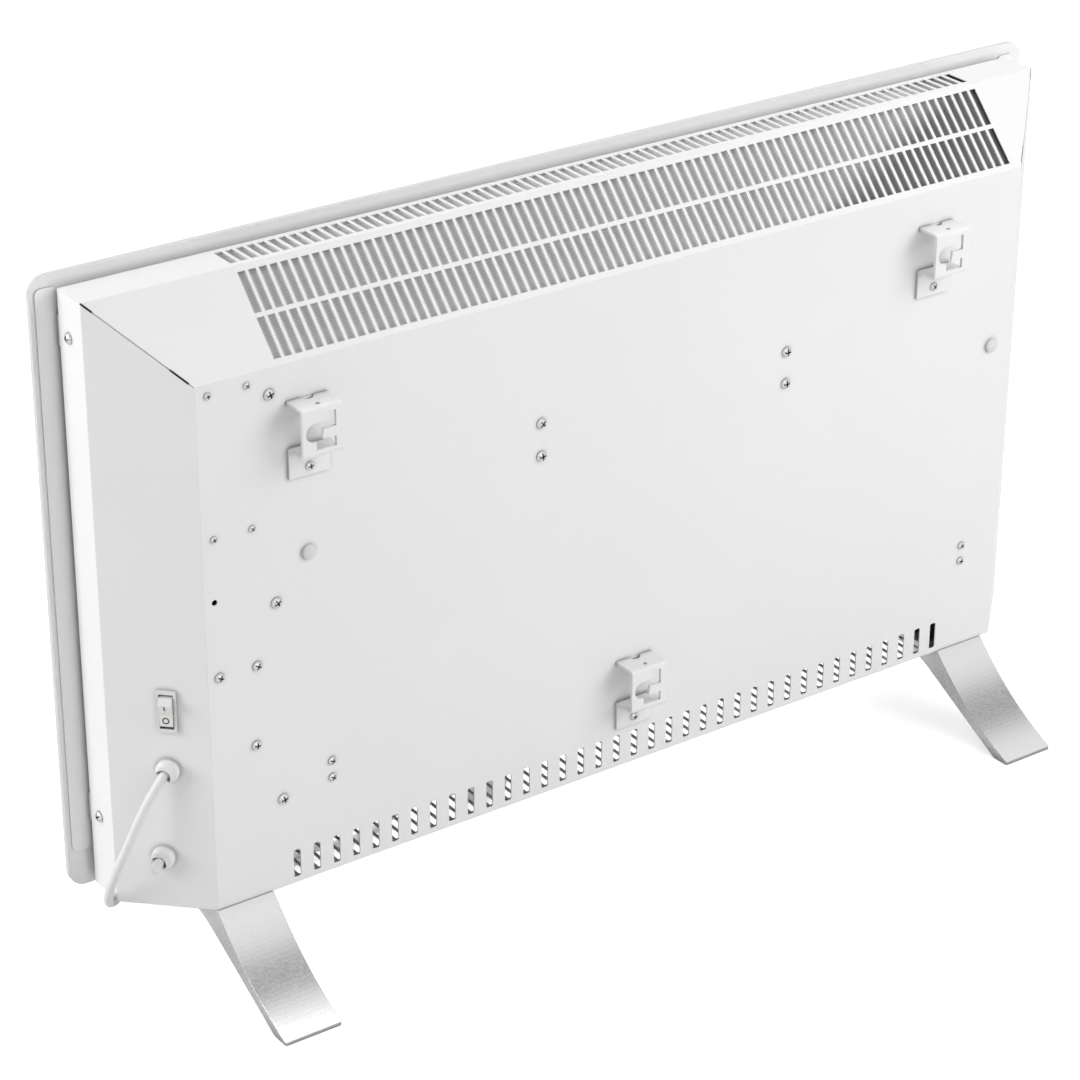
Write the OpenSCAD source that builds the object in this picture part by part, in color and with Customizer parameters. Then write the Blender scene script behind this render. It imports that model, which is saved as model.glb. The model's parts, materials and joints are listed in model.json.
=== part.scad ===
// Wall and floor panel convector heater with a glass front, seen from behind:
// folded steel rear cover with vent rows, bent wall hooks, cast arched feet,
// finned heating element, rocker switch, room sensor, mains lead and plug.
// +Z up, the glass faces -Y, the rear cover faces +Y, the switch is on the +X side.
// The origin is on the floor, midway between the feet's toes and the glass's sides.

/* [Cover] */
// Width over the side walls
cover_w = 780; // [720:1:900]
// Height from the bottom edge to the flat top
cover_h = 429; // [400:1:520]
// Depth of the side walls and of the flat top
side_d = 30; // [27:0.5:40]
// How far back the slanted sides and the slanted top run
chamfer_d = 48; // [44:0.5:60]
// How far in the slanted sides run
chamfer_w = 49.5; // [45:0.5:60]
// Drop of the slanted top
slope_h = 51; // [40:1:60]
// Thickness of the folded sheet
cover_t = 0.8; // [0.6:0.1:1.2]
// How far the cover sits beside the middle of the glass
cover_shift = 2.5; // [0:0.5:6]

/* [Vents] */
// Width of one slot
slot_w = 5.4; // [3:0.1:7]
// Width of the bar between two slots
slot_bar = 2.4; // [1.6:0.1:4]
// Plain edge round the vent rows, at the folds
vent_edge = 4.7; // [3:0.1:7]
// Bar between the two rows of the slanted top
row_bar = 3.3; // [2:0.1:6]
// Plain stretch between the vent rows and the rear fold, switch side
vent_margin_near = 59; // [50:1:80]
// The same on the far side
vent_margin_far = 8; // [6:1:40]
// Height of the inlet slots in the rear face
inlet_h = 21; // [10:0.5:30]
// Height of the inlet slots above the bottom edge
inlet_lift = 4.2; // [3:0.1:10]
// Corner radius of the inlet slots
inlet_r = 1.5; // [0.5:0.1:2.5]
// Plain stretch between the inlet slots and the rear fold, far side
inlet_margin_far = 54.5; // [40:0.5:80]

/* [Glass] */
// Thickness of the glass
glass_t = 4; // [3:0.5:6]
// Air gap between the glass and the cover
glass_gap = 5.5; // [5:0.5:10]
// How far the glass stands past the cover's sides
glass_side_lap = 19; // [17:1:40]
// How far the glass stands above the cover
glass_top_lap = 8; // [2:0.5:30]
// How far the glass hangs below the cover
glass_bottom_lap = 3; // [0:0.5:10]
// Corner radius of the glass
glass_corner_r = 13; // [4:1:30]

/* [Glass rails] */
// Width of the rail glued to the glass
rail_w = 14; // [10:0.5:16]
// Thickness of the rail
rail_t = 1.5; // [1:0.1:2]
// Corner radius of the rail
rail_corner_r = 4; // [1:0.5:6]
// Height of the rail's lower end above the cover's bottom edge
rail_lift = 25; // [5:1:40]
// Height of a rail's tab
tab_h = 21; // [14:0.5:30]
// Distance from the glass to a tab's free end
tab_l = 25; // [23:0.5:29]
// Height of the lower side screws above the cover's bottom edge
side_screw_low = 57; // [45:1:100]
// Drop from the flat top to the upper side screws
side_screw_drop = 29; // [15:1:80]
// Distance from the glass to the side screws
side_screw_d = 18; // [16:0.5:20]

/* [Wall hooks] */
// Width of a hook
hook_w = 30.5; // [29:0.5:40]
// Thickness of the hook's sheet
hook_t = 2; // [1.5:0.1:2.5]
// How far the front plate stands out from the rear face
hook_reach = 19.5; // [16:0.5:30]
// Height of the front plate
hook_h = 34; // [33:0.5:45]
// Length of the foot plate below the lower shelf
hook_foot = 20; // [18:0.5:30]
// Distance from the cover's side to the middle of an upper hook
hook_inset = 129; // [110:1:180]
// Drop from the slanted top's fold to the upper hooks' top
hook_drop = 25.5; // [8:0.5:60]
// Height of the lower hook's top above the cover's bottom edge
hook_low = 85.5; // [80:0.5:110]

/* [Feet] */
// Height of a foot, from the floor to the cover
foot_h = 60.5; // [50:0.5:80]
// Length of a foot over its two toes
foot_l = 251; // [230:1:300]
// Width of a foot
foot_w = 43; // [36:0.5:60]
// Distance from the cover's side to the middle of the foot, switch side
foot_inset_near = 70; // [60:1:90]
// The same on the far side
foot_inset_far = 80; // [60:1:110]

/* [Switch, bushes and lead] */
// Width of the switch's bezel
bezel_w = 13.4; // [12.6:0.1:16]
// Height of the switch's bezel
bezel_h = 30.6; // [30:0.1:34]
// Swing of the rocker from off to on
rocker_swing = 24; // [16:1:26]
// Height of the switch's middle above the cover's bottom edge
switch_z = 149; // [140:1:154]
// Height of the cord bush above the cover's bottom edge
cord_bush_z = 105.5; // [96:0.5:112]
// Height of the sensor bush above the cover's bottom edge
sensor_bush_z = 39; // [30:0.5:60]
// Diameter of a bush's flange
bush_d = 16.5; // [16:0.5:22]
// Diameter of the mains lead
cord_d = 6.4; // [6:0.1:6.8]

/* [Hidden] */
$fn = 48;

// Overrun of a cut past the face that it opens
over = 1;
// Play between a screw's shank and its hole, on the radius
screw_play = 0.1;
// Play round a piece that is pushed into a cut-out
push_play = 0.15;

// Cover, worked out
cover_d = side_d + chamfer_d;
half_depth = (glass_gap + cover_d) / 2;
front_y = glass_gap - half_depth;
fold_y = front_y + side_d;
rear_y = half_depth;
base_z = foot_h;
top_z = base_z + cover_h;
slope_z = top_z - slope_h;
half_w = cover_w / 2;
rear_half_w = half_w - chamfer_w;
slope_len = norm([chamfer_d, slope_h]);
slope_angle = atan2(slope_h, chamfer_d);
chamfer_yaw = atan2(chamfer_d, -chamfer_w);
inner_rear_y = rear_y - cover_t;
inner_top_z = top_z - cover_t;

// Mitre slits of the folded corners: a fine seam with a wider notch at each end
seam_gap = 0.26;
notch_gap = 1.1;
notch_upper_l = 9;
notch_lower_l = 14.5;
notch_lower_in = 4;

// Vent rows, worked out
slot_pitch = slot_w + slot_bar;
vent_max_x = rear_half_w - vent_margin_near;
vent_min_x = vent_margin_far - rear_half_w;
vent_count = floor((vent_max_x - vent_min_x + slot_bar) / slot_pitch);
first_slot_x = vent_max_x - slot_w / 2;
inlet_count = 1 + floor((first_slot_x - inlet_margin_far - slot_w / 2 + rear_half_w) / (2 * slot_pitch));
row_l = (slope_len - 2 * vent_edge - row_bar) / 2;

// Bottom grille: a plate laid inside the cover's walls
grille_t = 1;
grille_edge = 6;
grille_row_bar = 3.5;
grille_bar_share = 0.28;
grille_slot_w = slot_pitch * (1 - grille_bar_share);
grille_count = 2 * inlet_count - 1;
grille_row_l = (cover_d - cover_t - 2 * grille_edge - grille_row_bar) / 2;

// Screws: head radius, head height and shank radius of each kind
screw_r = 1.9;
screw_head_r = 3.2;
screw_head_h = 2.2;
small_head_r = 2.6;
small_head_h = 1.8;
big_head_r = 4.1;
big_head_h = 2.7;
screw_l = 8;
head_steps = 5;
head_rim_share = 0.3;
hole_r = screw_r + screw_play;

// Front plate, which closes the air duct behind the glass
front_t = 0.8;
front_flange = 21;

// Vent screen, a fine net on a folded frame behind the vent rows
screen_t = 0.6;
screen_gap = 3;
screen_lip = 2.6;
screen_foot = 6;
screen_margin = 1;
screen_far_margin = 8;

// Partition between the air duct and the control room
partition_t = 1;
partition_gap = 1.2;
partition_x = vent_max_x + partition_gap;
partition_flange = 13;
partition_screw_in = 5.2;
partition_screw_low = 68;
partition_screw_drop = 17.6;
partition_screw_count = 3;
partition_screw_pitch = (slope_z - partition_screw_drop - base_z - partition_screw_low)
    / (partition_screw_count - 1);
partition_foot = 12;
grommet_r = 6;
grommet_lift = 84;

// Control board on its posts, behind the rear face
board_x = partition_x + partition_t + partition_flange + 1;
board_w = 40;
board_t = 1.6;
board_low = 166;
board_edge = 7;
board_rows = 3;
board_screw_drop = 7.8;
board_row_pitch = (slope_z - board_screw_drop - base_z - board_low - board_edge) / (board_rows - 1);
board_screw_in = 6;
board_stand = 10;
post_r = 3.2;
board_h = (board_rows - 1) * board_row_pitch + 2 * board_edge;
relay_size = [16, 12, 20];
relay_gap = 2;
relay_lift = 20;
supply_size = [22, 14, 30];
capacitor_r = 5;
capacitor_l = 14;
capacitor_gap = 2.5;
capacitor_count = 3;
capacitor_drop = 28;

// Tip-over switch beside the partition
tip_size = [16, 14, 30];
tip_low = 93;
tip_screw_rise = 22;

// Terminal block on the partition
terminal_size = [16, 22, 32];
terminal_low = 34;
terminal_back = 24;
terminal_count = 3;
terminal_well_r = 2.4;
terminal_well_d = 9;

// Heating element: a steel tube with pressed fins
element_r = 5;
element_z = base_z + 78;
element_y = -2;
element_near_x = vent_max_x - 32;
element_far_x = vent_min_x + 26.5;
element_stub = 14;
fin_t = 0.6;
fin_pitch = 8;
fin_y = 44;
fin_z = 52;
fin_margin = 7;
pin_r = 2.2;
pin_l = 9;
bracket_t = 1.2;
bracket_w = 16;
bracket_h = 28;
bracket_screw_gap = 12.8;

// Air guide, a sheet that leads the warm air to the vents
guide_t = 0.7;
guide_stand = 24;
guide_low = 118;
guide_drop = 48;
guide_margin = 14;
guide_lip = 9;
guide_bracket_w = 16;
guide_bracket_l = 42;
guide_screw_gap = 24;
guide_screw_drop = 91.8;
guide_screw_z = slope_z - guide_screw_drop - guide_screw_gap;
guide_near_margin = 201.5;
guide_bracket_gap = 208.8;

// Display module, glued behind the glass at the switch side
display_size = [86, 3.8, 26];
display_in = 46;
display_lift = 22;
display_corner_r = 2;

// Hooks, worked out, and the keyhole in their front plate
hook_bend_r = 2.6;
hook_bend_steps = 5;
hook_tail = 11;
slit_play = 0.2;
hook_notch_r = 4.7;
hook_hole_r = 1.5;
hook_hole_out = 13.5;
hook_screw_drop = 13.5;
key_r = 6.4;
key_x = 6.2;
key_drop = 17;
key_slot_w = 5.2;
key_slot_x = -7;
key_slot_top = 4.5;
key_tongue_x = 0.3;
key_tongue_top = 15.5;
key_tongue_h = 7;
key_low_drop = 29;
key_low_x = 5;
key_channel_top = 10.6;

// Feet: scooped top, crowned arch and flat toes
toe_t = 2.6;
sole_l = 14;
crown_t = 10;
crown_r = 72;
scoop_r = 235;
foot_seat_l = 85;
crown_steps = 12;
scoop_steps = 30;
toe_corner_r = 1;
foot_screw_gap = 44;
foot_bore_r = 4.8;
foot_skin = 5;
glass_play = 0.5;
nut_plate_size = [34, 62, 2];

// Wall bumpers, clear snap-in pads
bumper_r = 5;
bumper_h = 3.4;
bumper_stem_r = 2.2;
bumper_stem_l = 5;
bumper_drop = 134;
bumper_near_in = 77.5;
bumper_far_in = 18.5;
bumper_z = slope_z - bumper_drop;
bumper_near_x = rear_half_w - bumper_near_in;
bumper_far_x = bumper_far_in - rear_half_w;
spare_hole_r = 2;
spare_hole_in = 7.5;
spare_hole_drop = 150.7;
spare_hole_x = rear_half_w - spare_hole_in;
spare_hole_z = slope_z - spare_hole_drop;

// Switch, in the frame of the slanted side
switch_s = 41;
bezel_t = 2;
bezel_corner_r = 1.4;
well_wall = 1;
well_depth = 10.4;
well_floor = 3;
rocker_play = 0.3;
rocker_hinge_depth = 4;
rocker_r = 12.3;
rocker_top = 4.8;
rocker_valley = 1.6;
rocker_keel = 3;
trunnion_r = 1.5;
trunnion_l = 0.9;
trunnion_play = 0.05;
blade_size = [1, 6.3, 9];
blade_gap = 7;
well_w = bezel_w - 2 * 0.9;
well_h = bezel_h - 2 * 1.1;
rocker_w = well_w - 2 * well_wall - 2 * rocker_play;

// Bushes, in the frame of the slanted side
bush_s = 40;
sensor_s = 34;
bush_flange_t = 1.4;
bush_stem_r = 6.2;
bush_stem_l = 7;
bush_hood_in = 0.3;
bush_hood_h = 6.8;
bush_hood_edge = 3.4;
bush_steps = 6;
bush_axis_h = 2.6;
bush_axis_rise = 1.5;
bush_socket_from = 1.6;
bush_mouth_from = 4.4;
bush_mouth_r = 5.2;
bush_mouth_tilts = [22, 39, 56, 73];
bush_reach = 14;
bush_tilt = 73;
bush_turn = 29;
probe_r = 3.8;
probe_l = 12.4;

// Lead: round, on the floor past the end of its first free stretch
cord_r = cord_d / 2;
cord_sides = 10;

// Free stretch from the bush down the slanted side, over the foot's toe, to the coil
lead_route = [
    [366.1, 22.9, 166.1], [369, 23.1, 162.6], [375.3, 21.7, 152.7], [381.4, 20.2, 142.4],
    [386.8, 18.9, 131.6], [391.3, 17.1, 120.6], [395.1, 14.4, 109.5], [398.1, 10.5, 98.5],
    [400, 5.8, 87.5], [400.4, 0.3, 76.8], [399.1, -5.8, 66.4], [395.2, -12.7, 57.1],
    [387.9, -20.2, 51.3], [379.6, -28.5, 48.5], [371.9, -37.7, 47.5], [364, -46.8, 47.5],
    [355.1, -54.9, 47.9], [344.5, -60.6, 48.2], [331, -62.8, 48.2], [317, -63.2, 48.1],
    [304.5, -63.2, 47.2], [294, -62.7, 43.2], [285.2, -61.8, 36], [277.5, -60.9, 26.6],
    [269.5, -60.3, 16.9], [260, -60, 8.7], [248, -60, 4.3], [235, -60, 3.2]
];

// Free stretch from the coil's upper layer to the plug
tail_route = [
    [222.2, -60, 10.2], [210, -60, 9.6], [198, -60, 7], [186, -60.5, 4.2],
    [174, -61.5, 3.2], [162, -62.5, 3.2], [151, -63.5, 4.6], [140.5, -64.5, 8.8],
    [130.5, -65, 14.2], [119.5, -65, 17.8], [108, -65, 18.5]
];

// Coil: it spirals in on the floor and out again in a second layer
coil_turns = 5;
coil_rings = 24;
coil_sides = 6;
coil_gap = 0.6;
coil_pitch = cord_d + coil_gap;
coil_rise = cord_d + coil_gap;
coil_mid_share = 5.5;
coil_mid_r = coil_mid_share * cord_d;
coil_out_r = coil_mid_r + coil_pitch * coil_turns / 4;
coil_start = lead_route[len(lead_route) - 1];
coil_hub = [coil_start[0] - cord_d, coil_start[1] - coil_out_r];
coil_climb_share = 0.5;

// Plug: round body with flats for the earth clips and a ribbed, tapered nose
plug_r = 18.5;
plug_body_l = 36;
plug_edge = 2;
plug_shoulder = 12;
plug_flat_r = 16.3;
plug_flat_w = 15;
plug_nose_l = 24;
plug_nose_r = 8.5;
plug_nose_tip_r = 4.9;
plug_ribs = 4;
plug_rib_h = 0.8;
plug_rib_l = 2.4;
plug_pin_r = 2.4;
plug_pin_l = 19;
plug_pin_gap = 19;
plug_socket_r = 2.7;
plug_socket_d = 12;
plug_socket_out = 10;
plug_tip = tail_route[len(tail_route) - 1];

// Returns a vector of length one
function unit(v) = v / norm(v);

// Turns a plan vector a quarter turn to the left
function left_of(v) = [-v[1], v[0]];

// Moves each corner of a closed outline, drawn anticlockwise, inwards by t
function inset(pts, t) = [
    for (i = [0:len(pts) - 1])
        let (before = unit(pts[i] - pts[(i + len(pts) - 1) % len(pts)]))
        let (after = unit(pts[(i + 1) % len(pts)] - pts[i]))
        let (n1 = left_of(before), n2 = left_of(after))
        pts[i] + (n1 + n2) * t / (1 + n1 * n2)
];

// Moves each corner of an open line to its left by t
function shifted(pts, t) = [
    for (i = [0:len(pts) - 1])
        let (before = unit(i > 0 ? pts[i] - pts[i - 1] : pts[1] - pts[0]))
        let (after = unit(i < len(pts) - 1 ? pts[i + 1] - pts[i] : pts[i] - pts[i - 1]))
        let (n1 = left_of(before), n2 = left_of(after))
        pts[i] + (n1 + n2) * t / (1 + n1 * n2)
];

// Outline of a sheet of thickness t folded along the middle line pts
function sheet_outline(pts, t) = concat(
    shifted(pts, t / 2),
    [for (i = [len(pts) - 1:-1:0]) shifted(pts, -t / 2)[i]]
);

// Rounds the inner corners of an open line with arcs of radius r
function bent(pts, r, steps) = concat(
    [pts[0]],
    [
        for (i = [1:len(pts) - 2])
            let (before = unit(pts[i] - pts[i - 1]), after = unit(pts[i + 1] - pts[i]))
            let (turn = acos(before * after))
            let (hand = sign(left_of(before) * after))
            let (start = pts[i] - before * r * tan(turn / 2))
            let (hub = start + left_of(before) * hand * r)
            for (k = [0:steps])
                let (a = turn * k / steps)
                hub - left_of(before) * hand * r * cos(a) + before * r * sin(a)
    ],
    [pts[len(pts) - 1]]
);

// Plan and side outlines of the closed cover, both anticlockwise
cover_plan = [
    [-half_w, front_y], [half_w, front_y], [half_w, fold_y],
    [rear_half_w, rear_y], [-rear_half_w, rear_y], [-half_w, fold_y]
];
cover_side = [
    [front_y, base_z], [rear_y, base_z], [rear_y, slope_z],
    [fold_y, top_z], [front_y, top_z]
];

// Draws a rounded rectangle from the corner at zero
module rounded_rect(w, h, r) {
    translate([r, 0]) square([w - 2 * r, h]);
    translate([0, r]) square([w, h - 2 * r]);
    for (x = [r, w - r], y = [r, h - r]) {
        translate([x, y]) circle(r);
    }
}

// Stands a flat outline up, facing -Y, with its thickness t running to +Y
module upright(t) {
    translate([0, t, 0]) rotate([90, 0, 0]) linear_extrude(t) children();
}

// Extrudes an outline drawn in Y and Z along X, from x1 to x2
module along_x(x1, x2) {
    translate([x1, 0, 0]) rotate([90, 0, 90]) linear_extrude(x2 - x1) children();
}

// Moves into the cover's own middle
module in_cover() {
    translate([cover_shift, 0, 0]) children();
}

// Moves to the slanted side: x from the side fold to the rear fold, y up, z outwards
module on_chamfer(s, z) {
    translate([cover_shift + half_w, fold_y, 0])
        rotate([90, 0, chamfer_yaw])
            translate([s, z, 0])
                children();
}

// Moves to the slanted top: y from the flat top down to the rear fold, z outwards
module on_slope() {
    translate([0, fold_y, top_z]) rotate([-slope_angle, 0, 0]) children();
}

// Pan-head screw whose head sits on z = 0 and whose shank points to -z
module pan_screw(head_r, head_h, l) {
    rim = head_h * head_rim_share;
    rotate_extrude()
        polygon(concat(
            [[0, -l], [screw_r, -l], [screw_r, 0], [head_r, 0]],
            [for (k = [0:head_steps])
                [head_r * cos(90 * k / head_steps), rim + (head_h - rim) * sin(90 * k / head_steps)]]
        ));
}

// Closed shape of the cover, drawn in by inset_t and open to the front and below
module cover_block(inset_t, reach) {
    plan = inset(cover_plan, inset_t);
    side = inset(cover_side, inset_t);
    low_z = base_z - reach;
    near_y = front_y - reach;
    intersection() {
        translate([0, 0, low_z])
            linear_extrude(top_z - low_z)
                polygon(concat(
                    [[plan[5][0], near_y], [plan[2][0], near_y]],
                    [plan[2], plan[3], plan[4], plan[5]]
                ));
        along_x(-half_w, half_w)
            polygon([
                [near_y, low_z], [side[1][0], low_z], side[2],
                side[3], [near_y, side[3][1]]
            ]);
    }
}

// Cuts the mitre of one rear top corner: notches at its ends and a fine seam between
module mitre_cut() {
    run = [-chamfer_w, chamfer_d, -slope_h];
    seam_l = norm(run);
    pitch = asin(slope_h / seam_l);
    yaw = chamfer_yaw;
    out = unit(unit([chamfer_d, chamfer_w, 0]) + unit([0, slope_h, chamfer_d]));
    up = [sin(pitch) * cos(yaw), sin(pitch) * sin(yaw), cos(pitch)];
    beside = [-sin(yaw), cos(yaw), 0];
    roll = atan2(-(out * beside), out * up);
    deep = 2 * cover_t + 2 * over;
    translate([half_w, fold_y, top_z])
        rotate([0, 0, yaw])
            rotate([0, pitch, 0])
                rotate([roll, 0, 0]) {
                    translate([0, -seam_gap / 2, -deep / 2]) cube([seam_l, seam_gap, deep]);
                    translate([0, -notch_gap / 2, -deep / 2]) cube([notch_upper_l, notch_gap, deep]);
                    translate([seam_l - notch_lower_in - notch_lower_l, -notch_gap / 2, -deep / 2])
                        cube([notch_lower_l, notch_gap, deep]);
                }
}

// All vent slots of the flat top and the slanted top
module vent_slots() {
    top_l = side_d - 2 * vent_edge;
    deep = 2 * cover_t + 2 * over;
    for (i = [0:vent_count - 1]) {
        x = first_slot_x - i * slot_pitch - slot_w / 2;
        translate([x, front_y + vent_edge, top_z - deep / 2]) cube([slot_w, top_l, deep]);
        on_slope() {
            translate([x, vent_edge, -deep / 2]) cube([slot_w, row_l, deep]);
            translate([x, vent_edge + row_l + row_bar, -deep / 2]) cube([slot_w, row_l, deep]);
        }
    }
}

// Inlet slots along the rear face's bottom edge
module inlet_slots() {
    for (i = [0:inlet_count - 1]) {
        x = first_slot_x - 2 * i * slot_pitch - slot_w / 2;
        translate([x, inner_rear_y - over, base_z + inlet_lift])
            upright(cover_t + 2 * over) rounded_rect(slot_w, inlet_h, inlet_r);
    }
}

// Places its children at each wall hook: x of the middle and z of the top
module at_hooks() {
    for (place = hook_places) {
        translate([place[0], 0, place[1]]) children();
    }
}

hook_places = [
    [half_w - hook_inset, slope_z - hook_drop],
    [hook_inset - half_w, slope_z - hook_drop],
    [0, base_z + hook_low]
];

// Rear-face screws by kind, as x and z in the cover's own middle
partition_screw_places = [
    for (k = [0:partition_screw_count - 1]) [
        partition_x + partition_screw_in,
        base_z + partition_screw_low + k * partition_screw_pitch
    ]
];
board_screw_places = [
    for (k = [0:board_rows - 1], x = [board_x + board_screw_in, board_x + board_w - board_screw_in])
        [x, base_z + board_low + board_edge + k * board_row_pitch]
];
tip_x = board_x + 1;
tip_screw_place = [tip_x + tip_size[0] / 2, base_z + tip_low + tip_screw_rise];
bracket_screw_places = [
    for (x = [element_near_x, element_far_x], side = [-1, 1])
        [x, element_z + side * bracket_screw_gap / 2]
];
guide_places = [
    vent_max_x - guide_near_margin,
    vent_max_x - guide_near_margin - guide_bracket_gap
];
guide_screw_places = [
    for (x = guide_places, k = [0, 1]) [x, guide_screw_z + k * guide_screw_gap]
];
small_screw_places = concat(
    board_screw_places, [tip_screw_place], bracket_screw_places, guide_screw_places
);
bumper_places = [[bumper_near_x, bumper_z], [bumper_far_x, bumper_z]];

// Drills a hole along Y through the rear face's neighbourhood at each place
module rear_holes(places, r, y1, y2) {
    for (place = places) {
        translate([place[0], y2, place[1]]) rotate([90, 0, 0]) cylinder(h = y2 - y1, r = r);
    }
}

// Side screws, as z heights
side_screw_heights = [base_z + side_screw_low, top_z - side_screw_drop];
side_screw_y = side_screw_d - half_depth;

// Drills the side screws' holes along X, from x1 to x2
module side_holes(x1, x2) {
    for (z = side_screw_heights) {
        translate([x1, side_screw_y, z]) rotate([0, 90, 0]) cylinder(h = x2 - x1, r = hole_r);
    }
}

module glass_panel() {
    color("#e9ecec")
        translate([-cover_w / 2 - glass_side_lap, -half_depth - glass_t, base_z - glass_bottom_lap])
            upright(glass_t)
                rounded_rect(
                    cover_w + 2 * glass_side_lap,
                    cover_h + glass_top_lap + glass_bottom_lap,
                    glass_corner_r
                );
}

// Rail glued to the glass, with two tabs that reach inside the side wall
module glass_rail() {
    inner_x = half_w - cover_t - rail_t;
    difference() {
        union() {
            translate([inner_x, -half_depth, base_z + rail_lift])
                upright(rail_t) rounded_rect(rail_w + rail_t, cover_h - rail_lift, rail_corner_r);
            for (z = side_screw_heights) {
                translate([inner_x, -half_depth, z - tab_h / 2]) cube([rail_t, tab_l, tab_h]);
            }
        }
        side_holes(inner_x - over, half_w);
    }
}

module rail_right() {
    color("#eef0f0") in_cover() glass_rail();
}

module rail_left() {
    color("#eef0f0") in_cover() mirror([1, 0, 0]) glass_rail();
}

module display_module() {
    x = half_w - display_in - display_size[0];
    color("#2b2e30")
        translate([x, -half_depth, base_z + display_lift])
            upright(display_size[1]) rounded_rect(display_size[0], display_size[2], display_corner_r);
}

// Flat sheet behind the glass, with a flange along each side for the side screws
module front_plate() {
    flange_x = half_w - cover_t - rail_t;
    low_z = base_z + grille_t;
    h = inner_top_z - low_z;
    color("#c9cccc") in_cover() difference() {
        union() {
            translate([-flange_x, front_y, low_z]) cube([2 * flange_x, front_t, h]);
            for (x = [-flange_x, flange_x - front_t]) {
                translate([x, front_y, low_z]) cube([front_t, front_flange, h]);
            }
        }
        side_holes(-half_w, half_w);
    }
}

module rear_cover() {
    color("#f1f2f2") difference() {
        in_cover() difference() {
            cover_block(0, 0);
            cover_block(cover_t, over);
            vent_slots();
            inlet_slots();
            mitre_cut();
            mirror([1, 0, 0]) mitre_cut();
            side_holes(-half_w - over, half_w + over);
            rear_holes(partition_screw_places, hole_r, inner_rear_y - over, rear_y + over);
            rear_holes(small_screw_places, hole_r, inner_rear_y - over, rear_y + over);
            rear_holes([[spare_hole_x, spare_hole_z]], spare_hole_r, inner_rear_y - over, rear_y + over);
            rear_holes(bumper_places, bumper_stem_r + push_play, inner_rear_y - over, rear_y + over);
            at_hooks() hook_openings();
        }
        on_chamfer(switch_s, base_z + switch_z) switch_cut();
        on_chamfer(bush_s, base_z + cord_bush_z) bush_cut();
        on_chamfer(sensor_s, base_z + sensor_bush_z) bush_cut();
    }
}

// Slit for a hook's top plate and the hole for its screw
module hook_openings() {
    slit_w = hook_w + 2 * slit_play;
    translate([-slit_w / 2, inner_rear_y - over, -hook_bend_r - slit_play])
        cube([slit_w, cover_t + 2 * over, hook_bend_r + 2 * slit_play]);
    rear_holes([[0, -hook_h - hook_screw_drop]], hole_r, inner_rear_y - over, rear_y + over);
}

// Room behind the rear face for a hook's tail
module tail_relief() {
    relief_w = hook_w + 2 * push_play;
    translate([-relief_w / 2, inner_rear_y - hook_t - push_play, -hook_tail - push_play])
        cube([relief_w, hook_t + 2 * push_play, hook_tail + 2 * push_play]);
}

// Round hole for a bush's stem in the slanted side
module bush_cut() {
    translate([0, 0, -cover_t - over]) cylinder(h = cover_t + 2 * over, r = bush_stem_r + push_play);
}

// Square hole for the switch's well in the slanted side
module switch_cut() {
    w = well_w + 2 * push_play;
    h = well_h + 2 * push_play;
    translate([-w / 2, -h / 2, -cover_t - over]) cube([w, h, cover_t + 2 * over]);
}

// Plate with two rows of slots that lies inside the cover's walls
module bottom_grille() {
    plan = inset(cover_plan, cover_t);
    color("#e4e6e6") in_cover() difference() {
        translate([0, 0, base_z])
            linear_extrude(grille_t)
                polygon([
                    [plan[5][0], front_y], [plan[2][0], front_y],
                    plan[2], plan[3], plan[4], plan[5]
                ]);
        for (i = [0:grille_count - 1], row = [0, 1]) {
            translate([
                first_slot_x - i * slot_pitch - grille_slot_w / 2,
                front_y + grille_edge + row * (grille_row_l + grille_row_bar),
                base_z - over
            ])
                cube([grille_slot_w, grille_row_l, grille_t + 2 * over]);
        }
        for (foot = foot_places, side = [-1, 1]) {
            translate([foot, side * foot_screw_gap / 2, base_z - over])
                cylinder(h = grille_t + 2 * over, r = hole_r);
        }
    }
}

// Net folded like the flat top and the slanted top, with a lip along each edge
module vent_screen() {
    deep = inset(cover_side, cover_t + screen_gap);
    lip_z = inner_top_z - screen_t / 2;
    lip_y = front_y + front_t + screen_t;
    foot_y = inner_rear_y - screen_t / 2;
    slope_run = unit(deep[2] - deep[3]);
    foot_top = deep[3] + slope_run * ((foot_y - deep[3][0]) / slope_run[0]);
    color("#8e9192") in_cover()
        along_x(vent_min_x - screen_far_margin, vent_max_x + screen_margin)
            polygon(sheet_outline([
                [lip_y, lip_z], [lip_y + screen_lip, lip_z],
                [lip_y + screen_lip + screen_t, deep[3][1]], deep[3],
                foot_top, foot_top - [0, screen_foot]
            ], screen_t));
}

// Wall between the air duct and the control room, with a flange on the rear face
module partition() {
    side = inset(cover_side, cover_t);
    low_z = base_z + grille_t;
    flange_h = slope_z - partition_foot - (low_z + partition_foot);
    color("#d2d5d5") in_cover() difference() {
        union() {
            along_x(partition_x, partition_x + partition_t)
                polygon([
                    [front_y + front_t, low_z], [side[1][0], low_z],
                    side[2], side[3], [front_y + front_t, side[3][1]]
                ]);
            translate([partition_x, inner_rear_y - partition_t, low_z + partition_foot])
                cube([partition_t + partition_flange, partition_t, flange_h]);
        }
        rear_holes(partition_screw_places, hole_r, inner_rear_y - partition_t - over, rear_y);
        at_hooks() tail_relief();
        translate([partition_x - over, element_y, base_z + grommet_lift])
            rotate([0, 90, 0])
                cylinder(h = partition_t + 2 * over, r = grommet_r);
    }
}

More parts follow.
